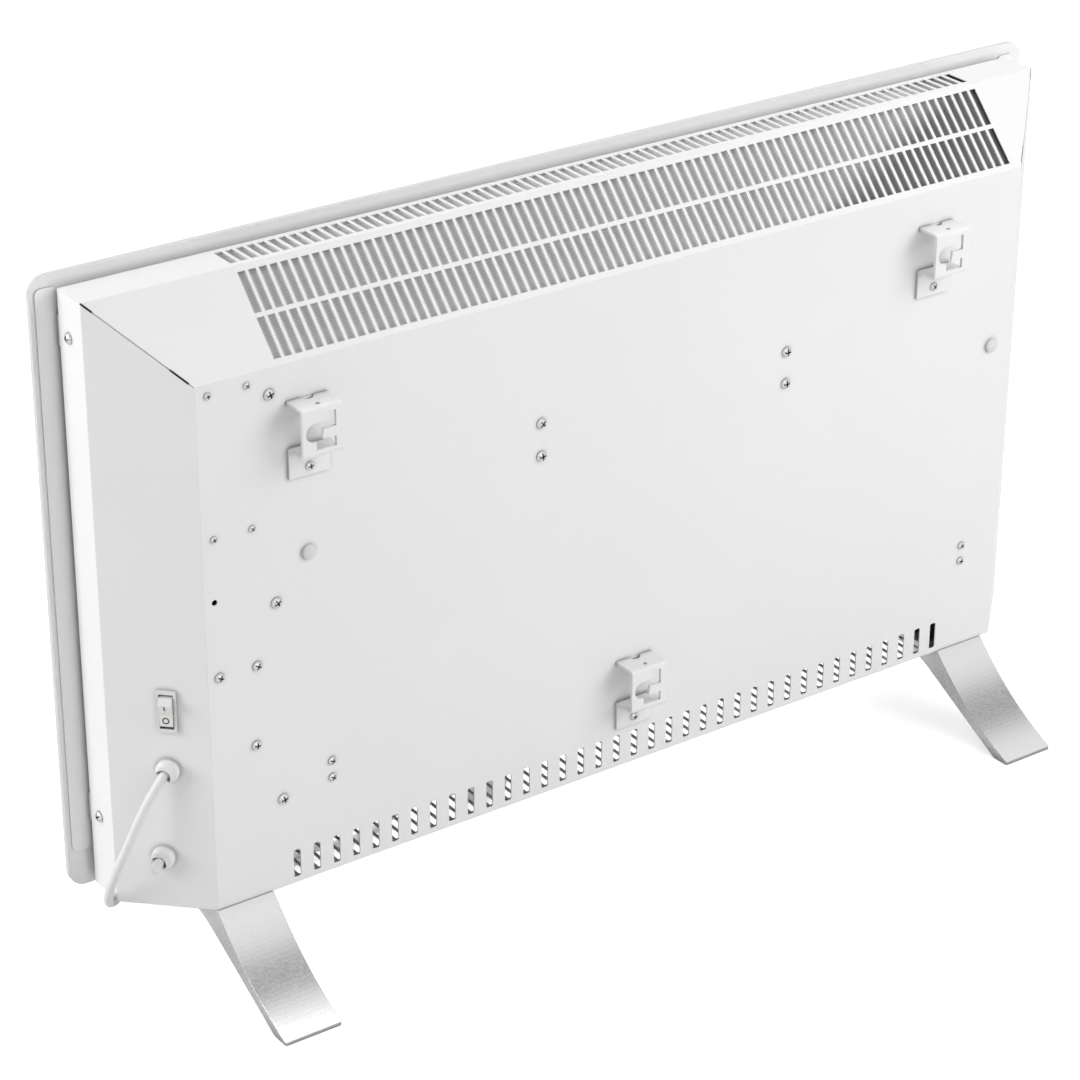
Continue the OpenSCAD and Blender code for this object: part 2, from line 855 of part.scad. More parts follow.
// Circuit board with its taller parts on the side away from the rear face
module control_board() {
    back_y = inner_rear_y - board_stand;
    face_y = back_y - board_t;
    low_z = base_z + board_low;
    color("#2f6b45") in_cover() difference() {
        union() {
            translate([board_x, face_y, low_z]) cube([board_w, board_t, board_h]);
            for (k = [0, 1]) {
                translate([
                    board_x + relay_gap + k * (relay_size[0] + relay_gap),
                    face_y - relay_size[1], low_z + relay_lift
                ])
                    cube(relay_size);
            }
            translate([
                board_x + board_edge, face_y - supply_size[1],
                low_z + board_row_pitch - supply_size[2] / 2
            ])
                cube(supply_size);
            for (k = [0:capacitor_count - 1]) {
                translate([
                    board_x + board_edge + k * (2 * capacitor_r + capacitor_gap),
                    face_y, low_z + board_h - capacitor_drop
                ])
                    rotate([90, 0, 0])
                        cylinder(h = capacitor_l, r = capacitor_r);
            }
        }
        rear_holes(board_screw_places, hole_r, face_y - over, inner_rear_y);
    }
}

module board_posts() {
    color("#f4f4ee") in_cover() difference() {
        rear_holes(board_screw_places, post_r, inner_rear_y - board_stand, inner_rear_y);
        rear_holes(board_screw_places, hole_r, inner_rear_y - board_stand - over, rear_y);
    }
}

module tip_switch() {
    color("#e8e8e2") in_cover() difference() {
        translate([tip_x, inner_rear_y - tip_size[1], base_z + tip_low]) cube(tip_size);
        rear_holes([tip_screw_place], hole_r, inner_rear_y - tip_size[1] - over, rear_y);
    }
}

// Mains terminals on the partition's dry side
module terminal_block() {
    x = partition_x + partition_t;
    y = inner_rear_y - terminal_back - terminal_size[1];
    z = base_z + terminal_low;
    color("#f0efe8") in_cover() difference() {
        translate([x, y, z]) cube(terminal_size);
        for (k = [0:terminal_count - 1]) {
            translate([
                x + terminal_size[0] - terminal_well_d,
                y + terminal_size[1] / 2,
                z + terminal_size[2] * (k + 1 / 2) / terminal_count
            ])
                rotate([0, 90, 0])
                    cylinder(h = terminal_well_d + over, r = terminal_well_r);
        }
    }
}

// Steel tube with a row of pressed fins and a terminal pin at each end
module heating_element() {
    tube_l = element_near_x - element_far_x + 2 * element_stub;
    first_x = element_far_x + fin_margin;
    count = 1 + floor((element_near_x - fin_margin - first_x) / fin_pitch);
    color("#a9adaf") in_cover() {
        translate([element_far_x - element_stub, element_y, element_z])
            rotate([0, 90, 0]) {
                cylinder(h = tube_l, r = element_r);
                translate([0, 0, -pin_l]) cylinder(h = tube_l + 2 * pin_l, r = pin_r);
            }
        for (i = [0:count - 1]) {
            translate([first_x + i * fin_pitch, element_y - fin_y / 2, element_z - fin_z / 2])
                cube([fin_t, fin_y, fin_z]);
        }
    }
}

// Two angle brackets that carry the element's ends from the rear face
module element_brackets() {
    arm_y = element_y - bracket_h / 2;
    color("#c4c8c9") in_cover() difference() {
        for (x = [element_near_x, element_far_x]) {
            translate([x - bracket_w / 2, inner_rear_y - bracket_t, element_z - bracket_h / 2])
                cube([bracket_w, bracket_t, bracket_h]);
            translate([x - bracket_t / 2, arm_y, element_z - bracket_h / 2])
                cube([bracket_t, inner_rear_y - arm_y, bracket_h]);
        }
        for (place = bracket_screw_places) {
            translate([place[0], rear_y, place[1]])
                rotate([90, 0, 0])
                    cylinder(h = cover_t + screw_l, r = hole_r);
        }
        translate([element_far_x - bracket_w, element_y, element_z])
            rotate([0, 90, 0])
                cylinder(h = element_near_x - element_far_x + 2 * bracket_w, r = element_r + push_play);
    }
}

// Sheet with folded edges, held off the rear face by two brackets
module air_guide() {
    y = inner_rear_y - guide_stand;
    color("#cfd2d2") in_cover()
        along_x(vent_min_x + guide_margin, vent_max_x - guide_margin)
            polygon(sheet_outline([
                [y + guide_lip, base_z + guide_low],
                [y, base_z + guide_low + guide_lip],
                [y, slope_z - guide_drop - guide_lip],
                [y + guide_lip, slope_z - guide_drop]
            ], guide_t));
}

module guide_brackets() {
    low_z = guide_screw_z + (guide_screw_gap - guide_bracket_l) / 2;
    near_y = inner_rear_y - guide_stand + guide_t / 2;
    color("#c4c8c9") in_cover() difference() {
        for (x = guide_places) {
            translate([x - guide_bracket_w / 2, near_y, low_z])
                cube([guide_bracket_w, inner_rear_y - near_y, guide_bracket_l]);
        }
        for (x = guide_places) {
            translate([x - guide_bracket_w / 2 + bracket_t, near_y + bracket_t, low_z - over])
                cube([
                    guide_bracket_w, inner_rear_y - near_y - 2 * bracket_t, guide_bracket_l + 2 * over
                ]);
        }
        rear_holes(guide_screw_places, hole_r, inner_rear_y - bracket_t - over, rear_y);
    }
}

// Middle line of a hook's folded strip, as y and z from the top of its front plate
function hook_line() = [
    [inner_rear_y - hook_t / 2, -hook_tail],
    [inner_rear_y - hook_t / 2, -hook_t / 2],
    [rear_y + hook_reach - hook_t / 2, -hook_t / 2],
    [rear_y + hook_reach - hook_t / 2, -hook_h + hook_t / 2],
    [rear_y + hook_t / 2, -hook_h + hook_t / 2],
    [rear_y + hook_t / 2, -hook_h - hook_foot]
];

// Cuts a box through a hook's front plate, from x1 to x2 and from drop1 down to drop2
module plate_cut(x1, x2, drop1, drop2) {
    translate([x1, rear_y + hook_reach - hook_t - over, -drop2])
        cube([x2 - x1, hook_t + 2 * over, drop2 - drop1]);
}

// Keyhole of the front plate: a round way in, and two slots round a tongue
module keyhole() {
    slot_x = key_slot_x - key_slot_w / 2;
    tongue_low = key_tongue_top + key_tongue_h;
    translate([key_x, rear_y + hook_reach + over, -key_drop])
        rotate([90, 0, 0])
            cylinder(h = hook_t + 2 * over, r = key_r);
    plate_cut(slot_x, slot_x + key_slot_w, key_slot_top, key_tongue_top);
    plate_cut(slot_x, key_x, key_channel_top, key_tongue_top);
    plate_cut(key_tongue_x, key_low_x, key_channel_top, key_low_drop);
    plate_cut(slot_x, key_low_x, tongue_low, key_low_drop);
}

// Strip folded into a hook: tail, top plate, front plate, shelf and foot plate
module wall_hook() {
    difference() {
        along_x(-hook_w / 2, hook_w / 2)
            polygon(sheet_outline(bent(hook_line(), hook_bend_r - hook_t / 2, hook_bend_steps), hook_t));
        keyhole();
        translate([0, rear_y, -hook_t - over])
            intersection() {
                cylinder(h = hook_t + 2 * over, r = hook_notch_r);
                translate([-hook_notch_r, 0, 0]) cube([2 * hook_notch_r, hook_notch_r, hook_t + 2 * over]);
            }
        translate([0, rear_y + hook_hole_out, -hook_t - over])
            cylinder(h = hook_t + 2 * over, r = hook_hole_r);
        rear_holes([[0, -hook_h - hook_screw_drop]], hole_r, inner_rear_y, rear_y + hook_t + over);
    }
}

// One hook at its place, in its colour
module placed_hook(i) {
    color("#f1f2f2") in_cover()
        translate([hook_places[i][0], 0, hook_places[i][1]]) wall_hook();
}

module wall_hook_right() {
    placed_hook(0);
}

module wall_hook_left() {
    placed_hook(1);
}

module wall_hook_lower() {
    placed_hook(2);
}

foot_places = [half_w - foot_inset_near, -half_w + foot_inset_far];

// Points of an arc round a hub, from angle a1 to a2
function arc(hub, r, a1, a2, steps) = [
    for (k = [0:steps])
        let (a = a1 + (a2 - a1) * k / steps)
        hub + r * [cos(a), sin(a)]
];

// Side view of a foot: crowned arch, soles, toes and scooped top, mirrored about its middle
module foot_profile() {
    half_l = foot_l / 2;
    seat = [foot_seat_l / 2, foot_h];
    toe = [half_l, toe_t];
    away = sqrt(scoop_r * scoop_r - (toe - seat) * (toe - seat) / 4);
    scoop_hub = (seat + toe) / 2 + away * unit([seat[1] - toe[1], toe[0] - seat[0]]);
    crown_hub = [0, foot_h - crown_t - crown_r];
    sole = [half_l - sole_l, 0];
    lean = atan2(sole[0], -crown_hub[1]) - acos(crown_r / norm(sole - crown_hub));
    scoop_from = atan2(toe[1] - scoop_hub[1], toe[0] - scoop_hub[0]);
    scoop_to = atan2(seat[1] - scoop_hub[1], seat[0] - scoop_hub[0]);
    rear = concat(
        arc(crown_hub, crown_r, 90 - lean / crown_steps, 90 - lean, crown_steps - 1),
        [sole, [half_l, 0]],
        arc(scoop_hub, scoop_r, scoop_from, scoop_to, scoop_steps)
    );
    polygon(concat(
        [[0, foot_h - crown_t]],
        rear,
        [for (i = [len(rear) - 1:-1:0]) [-rear[i][0], rear[i][1]]]
    ));
}

// Foot with rounded toes, a ledge clear of the glass and two counterbored screw holes
module foot() {
    ledge = glass_bottom_lap + glass_play;
    difference() {
        intersection() {
            along_x(-foot_w / 2, foot_w / 2) foot_profile();
            translate([-foot_w / 2, -foot_l / 2, 0])
                linear_extrude(foot_h) rounded_rect(foot_w, foot_l, toe_corner_r);
        }
        translate([-foot_w / 2 - over, -foot_l / 2, foot_h - ledge])
            cube([foot_w + 2 * over, foot_l / 2 - half_depth + glass_play, ledge + over]);
        for (side = [-1, 1]) {
            translate([0, side * foot_screw_gap / 2, 0]) {
                cylinder(h = foot_h + over, r = hole_r);
                cylinder(h = foot_h - foot_skin, r = foot_bore_r);
            }
        }
    }
}

module foot_right() {
    color("#b9bcbe") in_cover() translate([foot_places[0], 0, 0]) foot();
}

module foot_left() {
    color("#b9bcbe") in_cover() translate([foot_places[1], 0, 0]) foot();
}

// Threaded plates inside the cover, one over each foot
module nut_plates() {
    color("#9fa3a5") in_cover() difference() {
        for (x = foot_places) {
            translate([x - nut_plate_size[0] / 2, -nut_plate_size[1] / 2, base_z + grille_t])
                cube(nut_plate_size);
        }
        for (x = foot_places, side = [-1, 1]) {
            translate([x, side * foot_screw_gap / 2, base_z])
                cylinder(h = grille_t + nut_plate_size[2] + over, r = hole_r);
        }
    }
}

module side_screws() {
    color("#c9ccce") in_cover()
        for (side = [0, 1], z = side_screw_heights) {
            mirror([side, 0, 0])
                translate([half_w, side_screw_y, z])
                    rotate([0, 90, 0])
                        pan_screw(big_head_r, big_head_h, screw_l);
        }
}

// Screws whose heads sit on the rear face, or stand off it by out
module rear_screws(places, head_r, head_h, out) {
    for (place = places) {
        translate([place[0], rear_y + out, place[1]])
            rotate([-90, 0, 0])
                pan_screw(head_r, head_h, screw_l + out);
    }
}

// Large screws of the partition and of the guide's brackets
module partition_screws() {
    places = concat(partition_screw_places, guide_screw_places);
    color("#c9ccce") in_cover() rear_screws(places, big_head_r, big_head_h, 0);
}

// Screws of the board and tip switch, and the wider ones of the element's brackets
module small_screws() {
    color("#c9ccce") in_cover() {
        rear_screws(concat(board_screw_places, [tip_screw_place]), small_head_r, small_head_h, 0);
        rear_screws(bracket_screw_places, screw_head_r, screw_head_h, 0);
    }
}

module hook_screws() {
    places = [for (place = hook_places) place - [0, hook_h + hook_screw_drop]];
    color("#c9ccce") in_cover() rear_screws(places, screw_head_r, screw_head_h, hook_t);
}

module foot_screws() {
    color("#c9ccce") in_cover()
        for (x = foot_places, side = [-1, 1]) {
            translate([x, side * foot_screw_gap / 2, foot_h - foot_skin])
                rotate([180, 0, 0])
                    pan_screw(screw_head_r, screw_head_h, foot_skin + grille_t + nut_plate_size[2]);
        }
}

// Clear pads that keep the cover off the wall
module wall_bumpers() {
    color("#dfe3e4") in_cover()
        for (place = bumper_places) {
            translate([place[0], rear_y, place[1]])
                rotate([-90, 0, 0]) {
                    intersection() {
                        cylinder(h = bumper_h, r = bumper_r);
                        translate([0, 0, bumper_h - bumper_r * 2]) sphere(bumper_r * 2);
                    }
                    translate([0, 0, -bumper_stem_l]) cylinder(h = bumper_stem_l, r = bumper_stem_r);
                }
        }
}

// Bezel and well of the switch, in the frame of the slanted side
module switch_housing() {
    inner_w = well_w - 2 * well_wall;
    inner_h = 2 * (rocker_r + rocker_play);
    color("#f3f3f1") on_chamfer(switch_s, base_z + switch_z) difference() {
        union() {
            translate([-bezel_w / 2, -bezel_h / 2, 0])
                linear_extrude(bezel_t) rounded_rect(bezel_w, bezel_h, bezel_corner_r);
            translate([-well_w / 2, -well_h / 2, -well_depth - well_floor])
                cube([well_w, well_h, well_depth + well_floor]);
            for (k = [-1, 0, 1]) {
                translate([
                    -blade_size[1] / 2, k * blade_gap - blade_size[0] / 2,
                    -well_depth - well_floor - blade_size[2]
                ])
                    cube([blade_size[1], blade_size[0], blade_size[2]]);
            }
        }
        translate([-inner_w / 2, -inner_h / 2, -well_depth])
            cube([inner_w, inner_h, well_depth + bezel_t + over]);
        translate([-rocker_w / 2 - rocker_play - trunnion_l, 0, -rocker_hinge_depth])
            rotate([0, 90, 0])
                cylinder(h = rocker_w + 2 * rocker_play + 2 * trunnion_l, r = trunnion_r + trunnion_play);
    }
}

// Rocker in the off position: its lower end pressed in, its upper end proud
module switch_rocker() {
    pin_w = rocker_w + 2 * rocker_play + 2 * trunnion_l - 2 * trunnion_play;
    top = rocker_hinge_depth + rocker_top;
    valley = top - rocker_valley;
    color("#f7f7f5") on_chamfer(switch_s, base_z + switch_z)
        translate([0, 0, -rocker_hinge_depth])
            rotate([rocker_swing / 2, 0, 0]) {
                intersection() {
                    along_x(-rocker_w / 2, rocker_w / 2)
                        polygon([
                            [-rocker_r, -rocker_keel], [rocker_r, -rocker_keel],
                            [rocker_r, top + rocker_valley / 2], [0, valley],
                            [-rocker_r, top + rocker_valley / 2]
                        ]);
                    translate([-rocker_w / 2 - over, 0, 0])
                        rotate([0, 90, 0])
                            cylinder(h = rocker_w + 2 * over, r = rocker_r, $fn = 96);
                }
                translate([-pin_w / 2, 0, 0]) rotate([0, 90, 0]) cylinder(h = pin_w, r = trunnion_r);
            }
}

// Snap-in bush: flange, stem through the sheet and a domed hood whose open mouth leans down
module bush(bore_r) {
    hood_r = bush_d / 2 - bush_hood_in;
    difference() {
        union() {
            cylinder(h = bush_flange_t, r = bush_d / 2);
            translate([0, 0, -bush_stem_l]) cylinder(h = bush_stem_l, r = bush_stem_r);
            rotate_extrude()
                polygon(concat(
                    [[0, 0], [hood_r, 0]],
                    arc(
                        [hood_r - bush_hood_edge, bush_hood_h - bush_hood_edge],
                        bush_hood_edge, 0, 90, bush_steps
                    ),
                    [[0, bush_hood_h]]
                ));
        }
        bush_lean() translate([0, 0, bush_socket_from]) cylinder(h = bush_reach, r = bore_r);
        intersection() {
            for (tilt = bush_mouth_tilts) {
                bush_lean()
                    translate([0, 0, bush_mouth_from])
                        rotate([tilt - bush_tilt, 0, 0])
                            cylinder(h = bush_reach, r = bush_mouth_r);
            }
            translate([-bush_d, -bush_d, bush_flange_t]) cube([2 * bush_d, 2 * bush_d, 2 * bush_d]);
        }
    }
}

// Leans from the sheet's outward way to the way of a bush's mouth
module bush_lean() {
    translate([0, bush_axis_rise, bush_axis_h])
        rotate([0, 0, -bush_turn])
            rotate([bush_tilt, 0, 0])
                children();
}

module cord_bush() {
    color("#f3f3f1") on_chamfer(bush_s, base_z + cord_bush_z) bush(cord_r);
}

module sensor_bush() {
    color("#f3f3f1") on_chamfer(sensor_s, base_z + sensor_bush_z) bush(probe_r);
}

// Round-ended capsule of the room sensor
module sensor_probe() {
    color("#f7f7f5") on_chamfer(sensor_s, base_z + sensor_bush_z)
        bush_lean()
            translate([0, 0, bush_socket_from]) {
                cylinder(h = probe_l - probe_r, r = probe_r);
                translate([0, 0, probe_l - probe_r]) sphere(probe_r);
            }
}

// Directions along a line of points
function headings(pts) = [
    for (i = [0:len(pts) - 1]) unit(pts[min(i + 1, len(pts) - 1)] - pts[max(i - 1, 0)])
];

// Carries a side vector along the directions without twisting it
function carried(dirs, before, i = 0) =
    i == len(dirs) ? [] :
    let (here = unit(before - dirs[i] * (before * dirs[i])))
    concat([here], carried(dirs, here, i + 1));

// Length of a line of points
function line_length(pts, i = 1) =
    i == len(pts) ? 0 : norm(pts[i] - pts[i - 1]) + line_length(pts, i + 1);

// Round tube swept along a line of points, one ring at each point
module tube(pts, r, sides) {
    dirs = headings(pts);
    side = carried(dirs, [0, 0, 1] + dirs[0] / 2);
    last = len(pts) - 1;
    polyhedron(
        points = [
            for (i = [0:last], k = [0:sides - 1])
                let (a = 360 * (k + 1 / 2) / sides)
                pts[i] + r * (side[i] * cos(a) + cross(dirs[i], side[i]) * sin(a))
        ],
        faces = concat(
            [for (k = [1:sides - 2]) [0, k, k + 1]],
            [for (k = [1:sides - 2]) [last * sides, last * sides + k + 1, last * sides + k]],
            [for (i = [0:last - 1], k = [0:sides - 1])
                [i * sides + k, (i + 1) * sides + k, (i + 1) * sides + (k + 1) % sides]],
            [for (i = [0:last - 1], k = [0:sides - 1])
                [i * sides + k, (i + 1) * sides + (k + 1) % sides, i * sides + (k + 1) % sides]]
        )
    );
}

// Point of the coil after some turns, from the outer turn on the floor
function coil_point(turn) =
    let (half = coil_turns / 2)
    let (r = coil_out_r - coil_pitch * (half - abs(turn - half)))
    let (up = min(1, max(0, (turn - half) / coil_climb_share + 1 / 2)))
    let (a = 90 + 360 * turn)
    [coil_hub[0] + r * cos(a), coil_hub[1] + r * sin(a), coil_start[2] + coil_rise * up];

// The coil's turns between its two straight ends
coil_loops = [for (k = [0:coil_turns * coil_rings]) coil_point(k / coil_rings)];
coil_line = concat(
    [coil_start], coil_loops, [coil_loops[len(coil_loops) - 1] - [cord_d, 0, 0]]
);

// Least gap between turns of the coil, measured on its points
coil_least = min([
    for (i = [0:len(coil_line) - 1], j = [0:len(coil_line) - 1])
        if (j - i > coil_rings / 2) norm(coil_line[i] - coil_line[j])
]) - cord_d;

module cord_lead() {
    color("#eeeeec") tube(lead_route, cord_r, cord_sides);
}

module cord_coil() {
    echo(coil_least_gap = coil_least);
    echo(lead_length = line_length(lead_route) + line_length(coil_line) + line_length(tail_route));
    color("#eeeeec") tube(coil_line, cord_r, coil_sides);
}

module cord_tail() {
    color("#eeeeec") tube(tail_route, cord_r, cord_sides);
}

// Moves to the plug's nose, z pointing along the pins
module at_plug() {
    translate(plug_tip) rotate([0, -90, 0]) children();
}

module plug_body() {
    rib_pitch = plug_nose_l / (plug_ribs + 1);
    nose_flare = plug_nose_r - plug_nose_tip_r;
    color("#efefed") at_plug() difference() {
        union() {
            cylinder(h = plug_nose_l, r1 = plug_nose_tip_r, r2 = plug_nose_r);
            for (k = [1:plug_ribs]) {
                translate([0, 0, k * rib_pitch - plug_rib_l / 2])
                    cylinder(
                        h = plug_rib_l,
                        r = plug_rib_h + plug_nose_tip_r + nose_flare * k / (plug_ribs + 1)
                    );
            }
            translate([0, 0, plug_nose_l])
                rotate_extrude($fn = 72)
                    polygon([
                        [0, 0], [plug_nose_r + plug_edge, 0], [plug_r, plug_shoulder],
                        [plug_r, plug_body_l - plug_edge], [plug_r - plug_edge, plug_body_l],
                        [0, plug_body_l]
                    ]);
        }
        for (side = [-1, 1]) {
            translate([
                side > 0 ? plug_flat_r : -plug_flat_r - plug_r,
                -plug_flat_w / 2, plug_nose_l + plug_shoulder
            ])
                cube([plug_r, plug_flat_w, plug_body_l]);
            translate([0, side * plug_pin_gap / 2, plug_nose_l + plug_body_l - plug_edge])
                cylinder(h = plug_edge + over, r = plug_pin_r);
        }
        translate([plug_socket_out, 0, plug_nose_l + plug_body_l - plug_socket_d])
            cylinder(h = plug_socket_d + over, r = plug_socket_r);
    }
}

module plug_pins() {
    color("#c3c6c8") at_plug()
        for (side = [-1, 1]) {
            translate([0, side * plug_pin_gap / 2, plug_nose_l + plug_body_l - plug_edge]) {
                cylinder(h = plug_edge + plug_pin_l - plug_pin_r, r = plug_pin_r);
                translate([0, 0, plug_edge + plug_pin_l - plug_pin_r]) sphere(plug_pin_r);
            }
        }
}

glass_panel();
rail_right();
rail_left();
display_module();
front_plate();
rear_cover();
bottom_grille();
vent_screen();
partition();
control_board();
board_posts();
tip_switch();
terminal_block();
heating_element();
element_brackets();
air_guide();
guide_brackets();
wall_hook_right();
wall_hook_left();
wall_hook_lower();
foot_right();
foot_left();
nut_plates();
side_screws();
partition_screws();
small_screws();
hook_screws();
foot_screws();
wall_bumpers();
switch_housing();
switch_rocker();
cord_bush();
sensor_bush();
sensor_probe();
cord_lead();
cord_coil();
cord_tail();
plug_body();
plug_pins();
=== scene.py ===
"""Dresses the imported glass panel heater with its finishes, small pieces, lead, studio and camera."""
import json
import logging
import math
from dataclasses import dataclass, field
from enum import Enum
from typing import Optional, Sequence, Union

import bmesh
import bpy
from mathutils import Matrix, Vector
from mathutils.bvhtree import BVHTree


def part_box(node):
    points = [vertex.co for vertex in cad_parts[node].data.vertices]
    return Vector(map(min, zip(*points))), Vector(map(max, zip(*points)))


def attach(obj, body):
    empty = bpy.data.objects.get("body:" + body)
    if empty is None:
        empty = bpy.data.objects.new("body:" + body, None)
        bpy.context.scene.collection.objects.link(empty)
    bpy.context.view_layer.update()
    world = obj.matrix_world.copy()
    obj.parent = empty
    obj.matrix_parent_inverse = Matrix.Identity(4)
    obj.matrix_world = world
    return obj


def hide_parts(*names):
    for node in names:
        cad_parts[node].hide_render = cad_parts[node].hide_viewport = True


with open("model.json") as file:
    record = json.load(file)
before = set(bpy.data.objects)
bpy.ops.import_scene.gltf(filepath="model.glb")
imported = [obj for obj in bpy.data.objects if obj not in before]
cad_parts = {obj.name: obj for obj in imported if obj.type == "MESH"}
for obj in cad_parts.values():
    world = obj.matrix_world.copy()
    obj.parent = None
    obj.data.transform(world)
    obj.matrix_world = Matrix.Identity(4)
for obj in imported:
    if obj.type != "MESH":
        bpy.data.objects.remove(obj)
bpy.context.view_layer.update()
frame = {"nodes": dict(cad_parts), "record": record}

MM = 0.001
WELD = MM / 1000
SENSOR_MM = 36.0
VIEW_DEPTH = 50.0
NODE_STEP = 220
SHADE_RAYS = 6
NOISE_SPAN = (0.3, 0.7)
WHITE = (1.0, 1.0, 1.0, 1.0)
TO_REAR = (0.0, 1.0, 0.0)
TO_FRONT = (0.0, -1.0, 0.0)
log = logging.getLogger("heater")

Point = tuple[float, float, float]
Colour = tuple[float, float, float]
Pair = tuple[float, float]
Node = bpy.types.Node
Socket = bpy.types.NodeSocket
Tree = bpy.types.NodeTree
Piece = bpy.types.Object
Input = Union[Socket, float, Sequence[float], list[Socket]]


class Body(Enum):
    """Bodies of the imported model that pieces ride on."""

    HEATER = "heater"
    ROCKER = "rocker"


class Slot(Enum):
    """Material slots of the record."""

    GLASS = "glass"
    RAIL = "rail_steel"
    DISPLAY = "display_black"
    ZINC = "zinc_sheet"
    COAT = "white_coat"
    SCREEN = "screen_grey"
    BOARD = "board_green"
    PLASTIC = "white_plastic"
    ELEMENT = "element_steel"
    FOOT = "cast_aluminium"
    SCREW = "screw_zinc"
    CLEAR = "clear_plastic"
    SWITCH = "switch_white"
    CORD = "cord_white"
    PIN = "plug_nickel"


class Effect(Enum):
    """Shader groups that several finishes share."""

    SKIN = "pebbled_skin"
    BRUSHING = "brushed_lines"
    SOFTENING = "soft_edges"
    CREVICES = "crevice_shade"


class Canvas:
    """Adds and links the nodes of one node tree, from left to right."""

    def __init__(self, tree: Tree) -> None:
        """Takes over an empty tree."""
        self.tree = tree
        self.column = 0

    @classmethod
    def on(cls, owner: bpy.types.ID) -> "Canvas":
        """Clears the nodes of a material or world.

        Args:
            owner: the material or world.

        Returns:
            A canvas on its tree.
        """
        owner.use_nodes = True
        owner.node_tree.nodes.clear()
        return cls(owner.node_tree)

    def add(self, kind: str, inputs: Optional[dict[Union[str, int], Input]] = None, **settings: object) -> Node:
        """Adds a node.

        Args:
            kind: the node's type name.
            inputs: values, sockets or lists of sockets for its inputs, by socket name or number.
            settings: attributes to set on the node.

        Returns:
            The new node.
        """
        node = self.tree.nodes.new(kind)
        node.location = (NODE_STEP * self.column, 0)
        self.column += 1
        for name, value in settings.items():
            setattr(node, name, value)
        for name, value in (inputs or {}).items():
            for part in value if isinstance(value, list) else [value]:
                if isinstance(part, Socket):
                    self.tree.links.new(part, node.inputs[name])
                else:
                    node.inputs[name].default_value = part
        return node

    def place(self, kind: str = "Object") -> Socket:
        """Returns the coordinates that a pattern follows."""
        return self.add("ShaderNodeTexCoord").outputs[kind]

    def group(self, effect: Effect, **values: Input) -> Node:
        """Adds a shared group with its own values."""
        return self.add("ShaderNodeGroup", values, node_tree=bpy.data.node_groups[effect.value])

    def noise(self, place: Socket, **values: Input) -> Socket:
        """Returns a noise at some coordinates."""
        return self.add("ShaderNodeTexNoise", {"Vector": place, **values}).outputs[0]

    def math(self, operation: str, *values: Input) -> Socket:
        """Returns the result of one sum."""
        return self.add("ShaderNodeMath", dict(enumerate(values)), operation=operation).outputs[0]

    def scaled(self, colour: Input, share: Input) -> Socket:
        """Returns a colour times a number."""
        return self.add("ShaderNodeVectorMath", {0: colour, "Scale": share}, operation="SCALE").outputs[0]

    def blend(self, share: Input, first: Input, second: Input) -> Socket:
        """Returns the mix of two colours."""
        inputs = {"Factor": share, "A": first, "B": second}
        return self.add("ShaderNodeMix", inputs, data_type="RGBA").outputs["Result"]

    def spread(self, value: Socket, span: Sequence[Input], result: Sequence[Input], **settings: object) -> Socket:
        """Returns a value spread from the two ends of its span to the two ends of a result."""
        inputs = {"Value": value, "From Min": span[0], "From Max": span[1], "To Min": result[0], "To Max": result[1]}
        return self.add("ShaderNodeMapRange", inputs, **settings).outputs["Result"]


def shared_group(
    effect: Effect, inputs: dict[str, float], outputs: Sequence[str], kind: str = "NodeSocketFloat"
) -> tuple[Canvas, Node]:
    """Starts a shader group with named sockets.

    Args:
        effect: the effect that the group gives.
        inputs: number inputs and their defaults.
        outputs: output names.
        kind: socket type of the outputs.

    Returns:
        The group's canvas and its input node.
    """
    tree = bpy.data.node_groups.new(effect.value, "ShaderNodeTree")
    for label, value in inputs.items():
        socket = tree.interface.new_socket(name=label, in_out="INPUT", socket_type="NodeSocketFloat")
        socket.default_value = value
    for label in outputs:
        tree.interface.new_socket(name=label, in_out="OUTPUT", socket_type=kind)
    canvas = Canvas(tree)
    return canvas, canvas.add("NodeGroupInput")


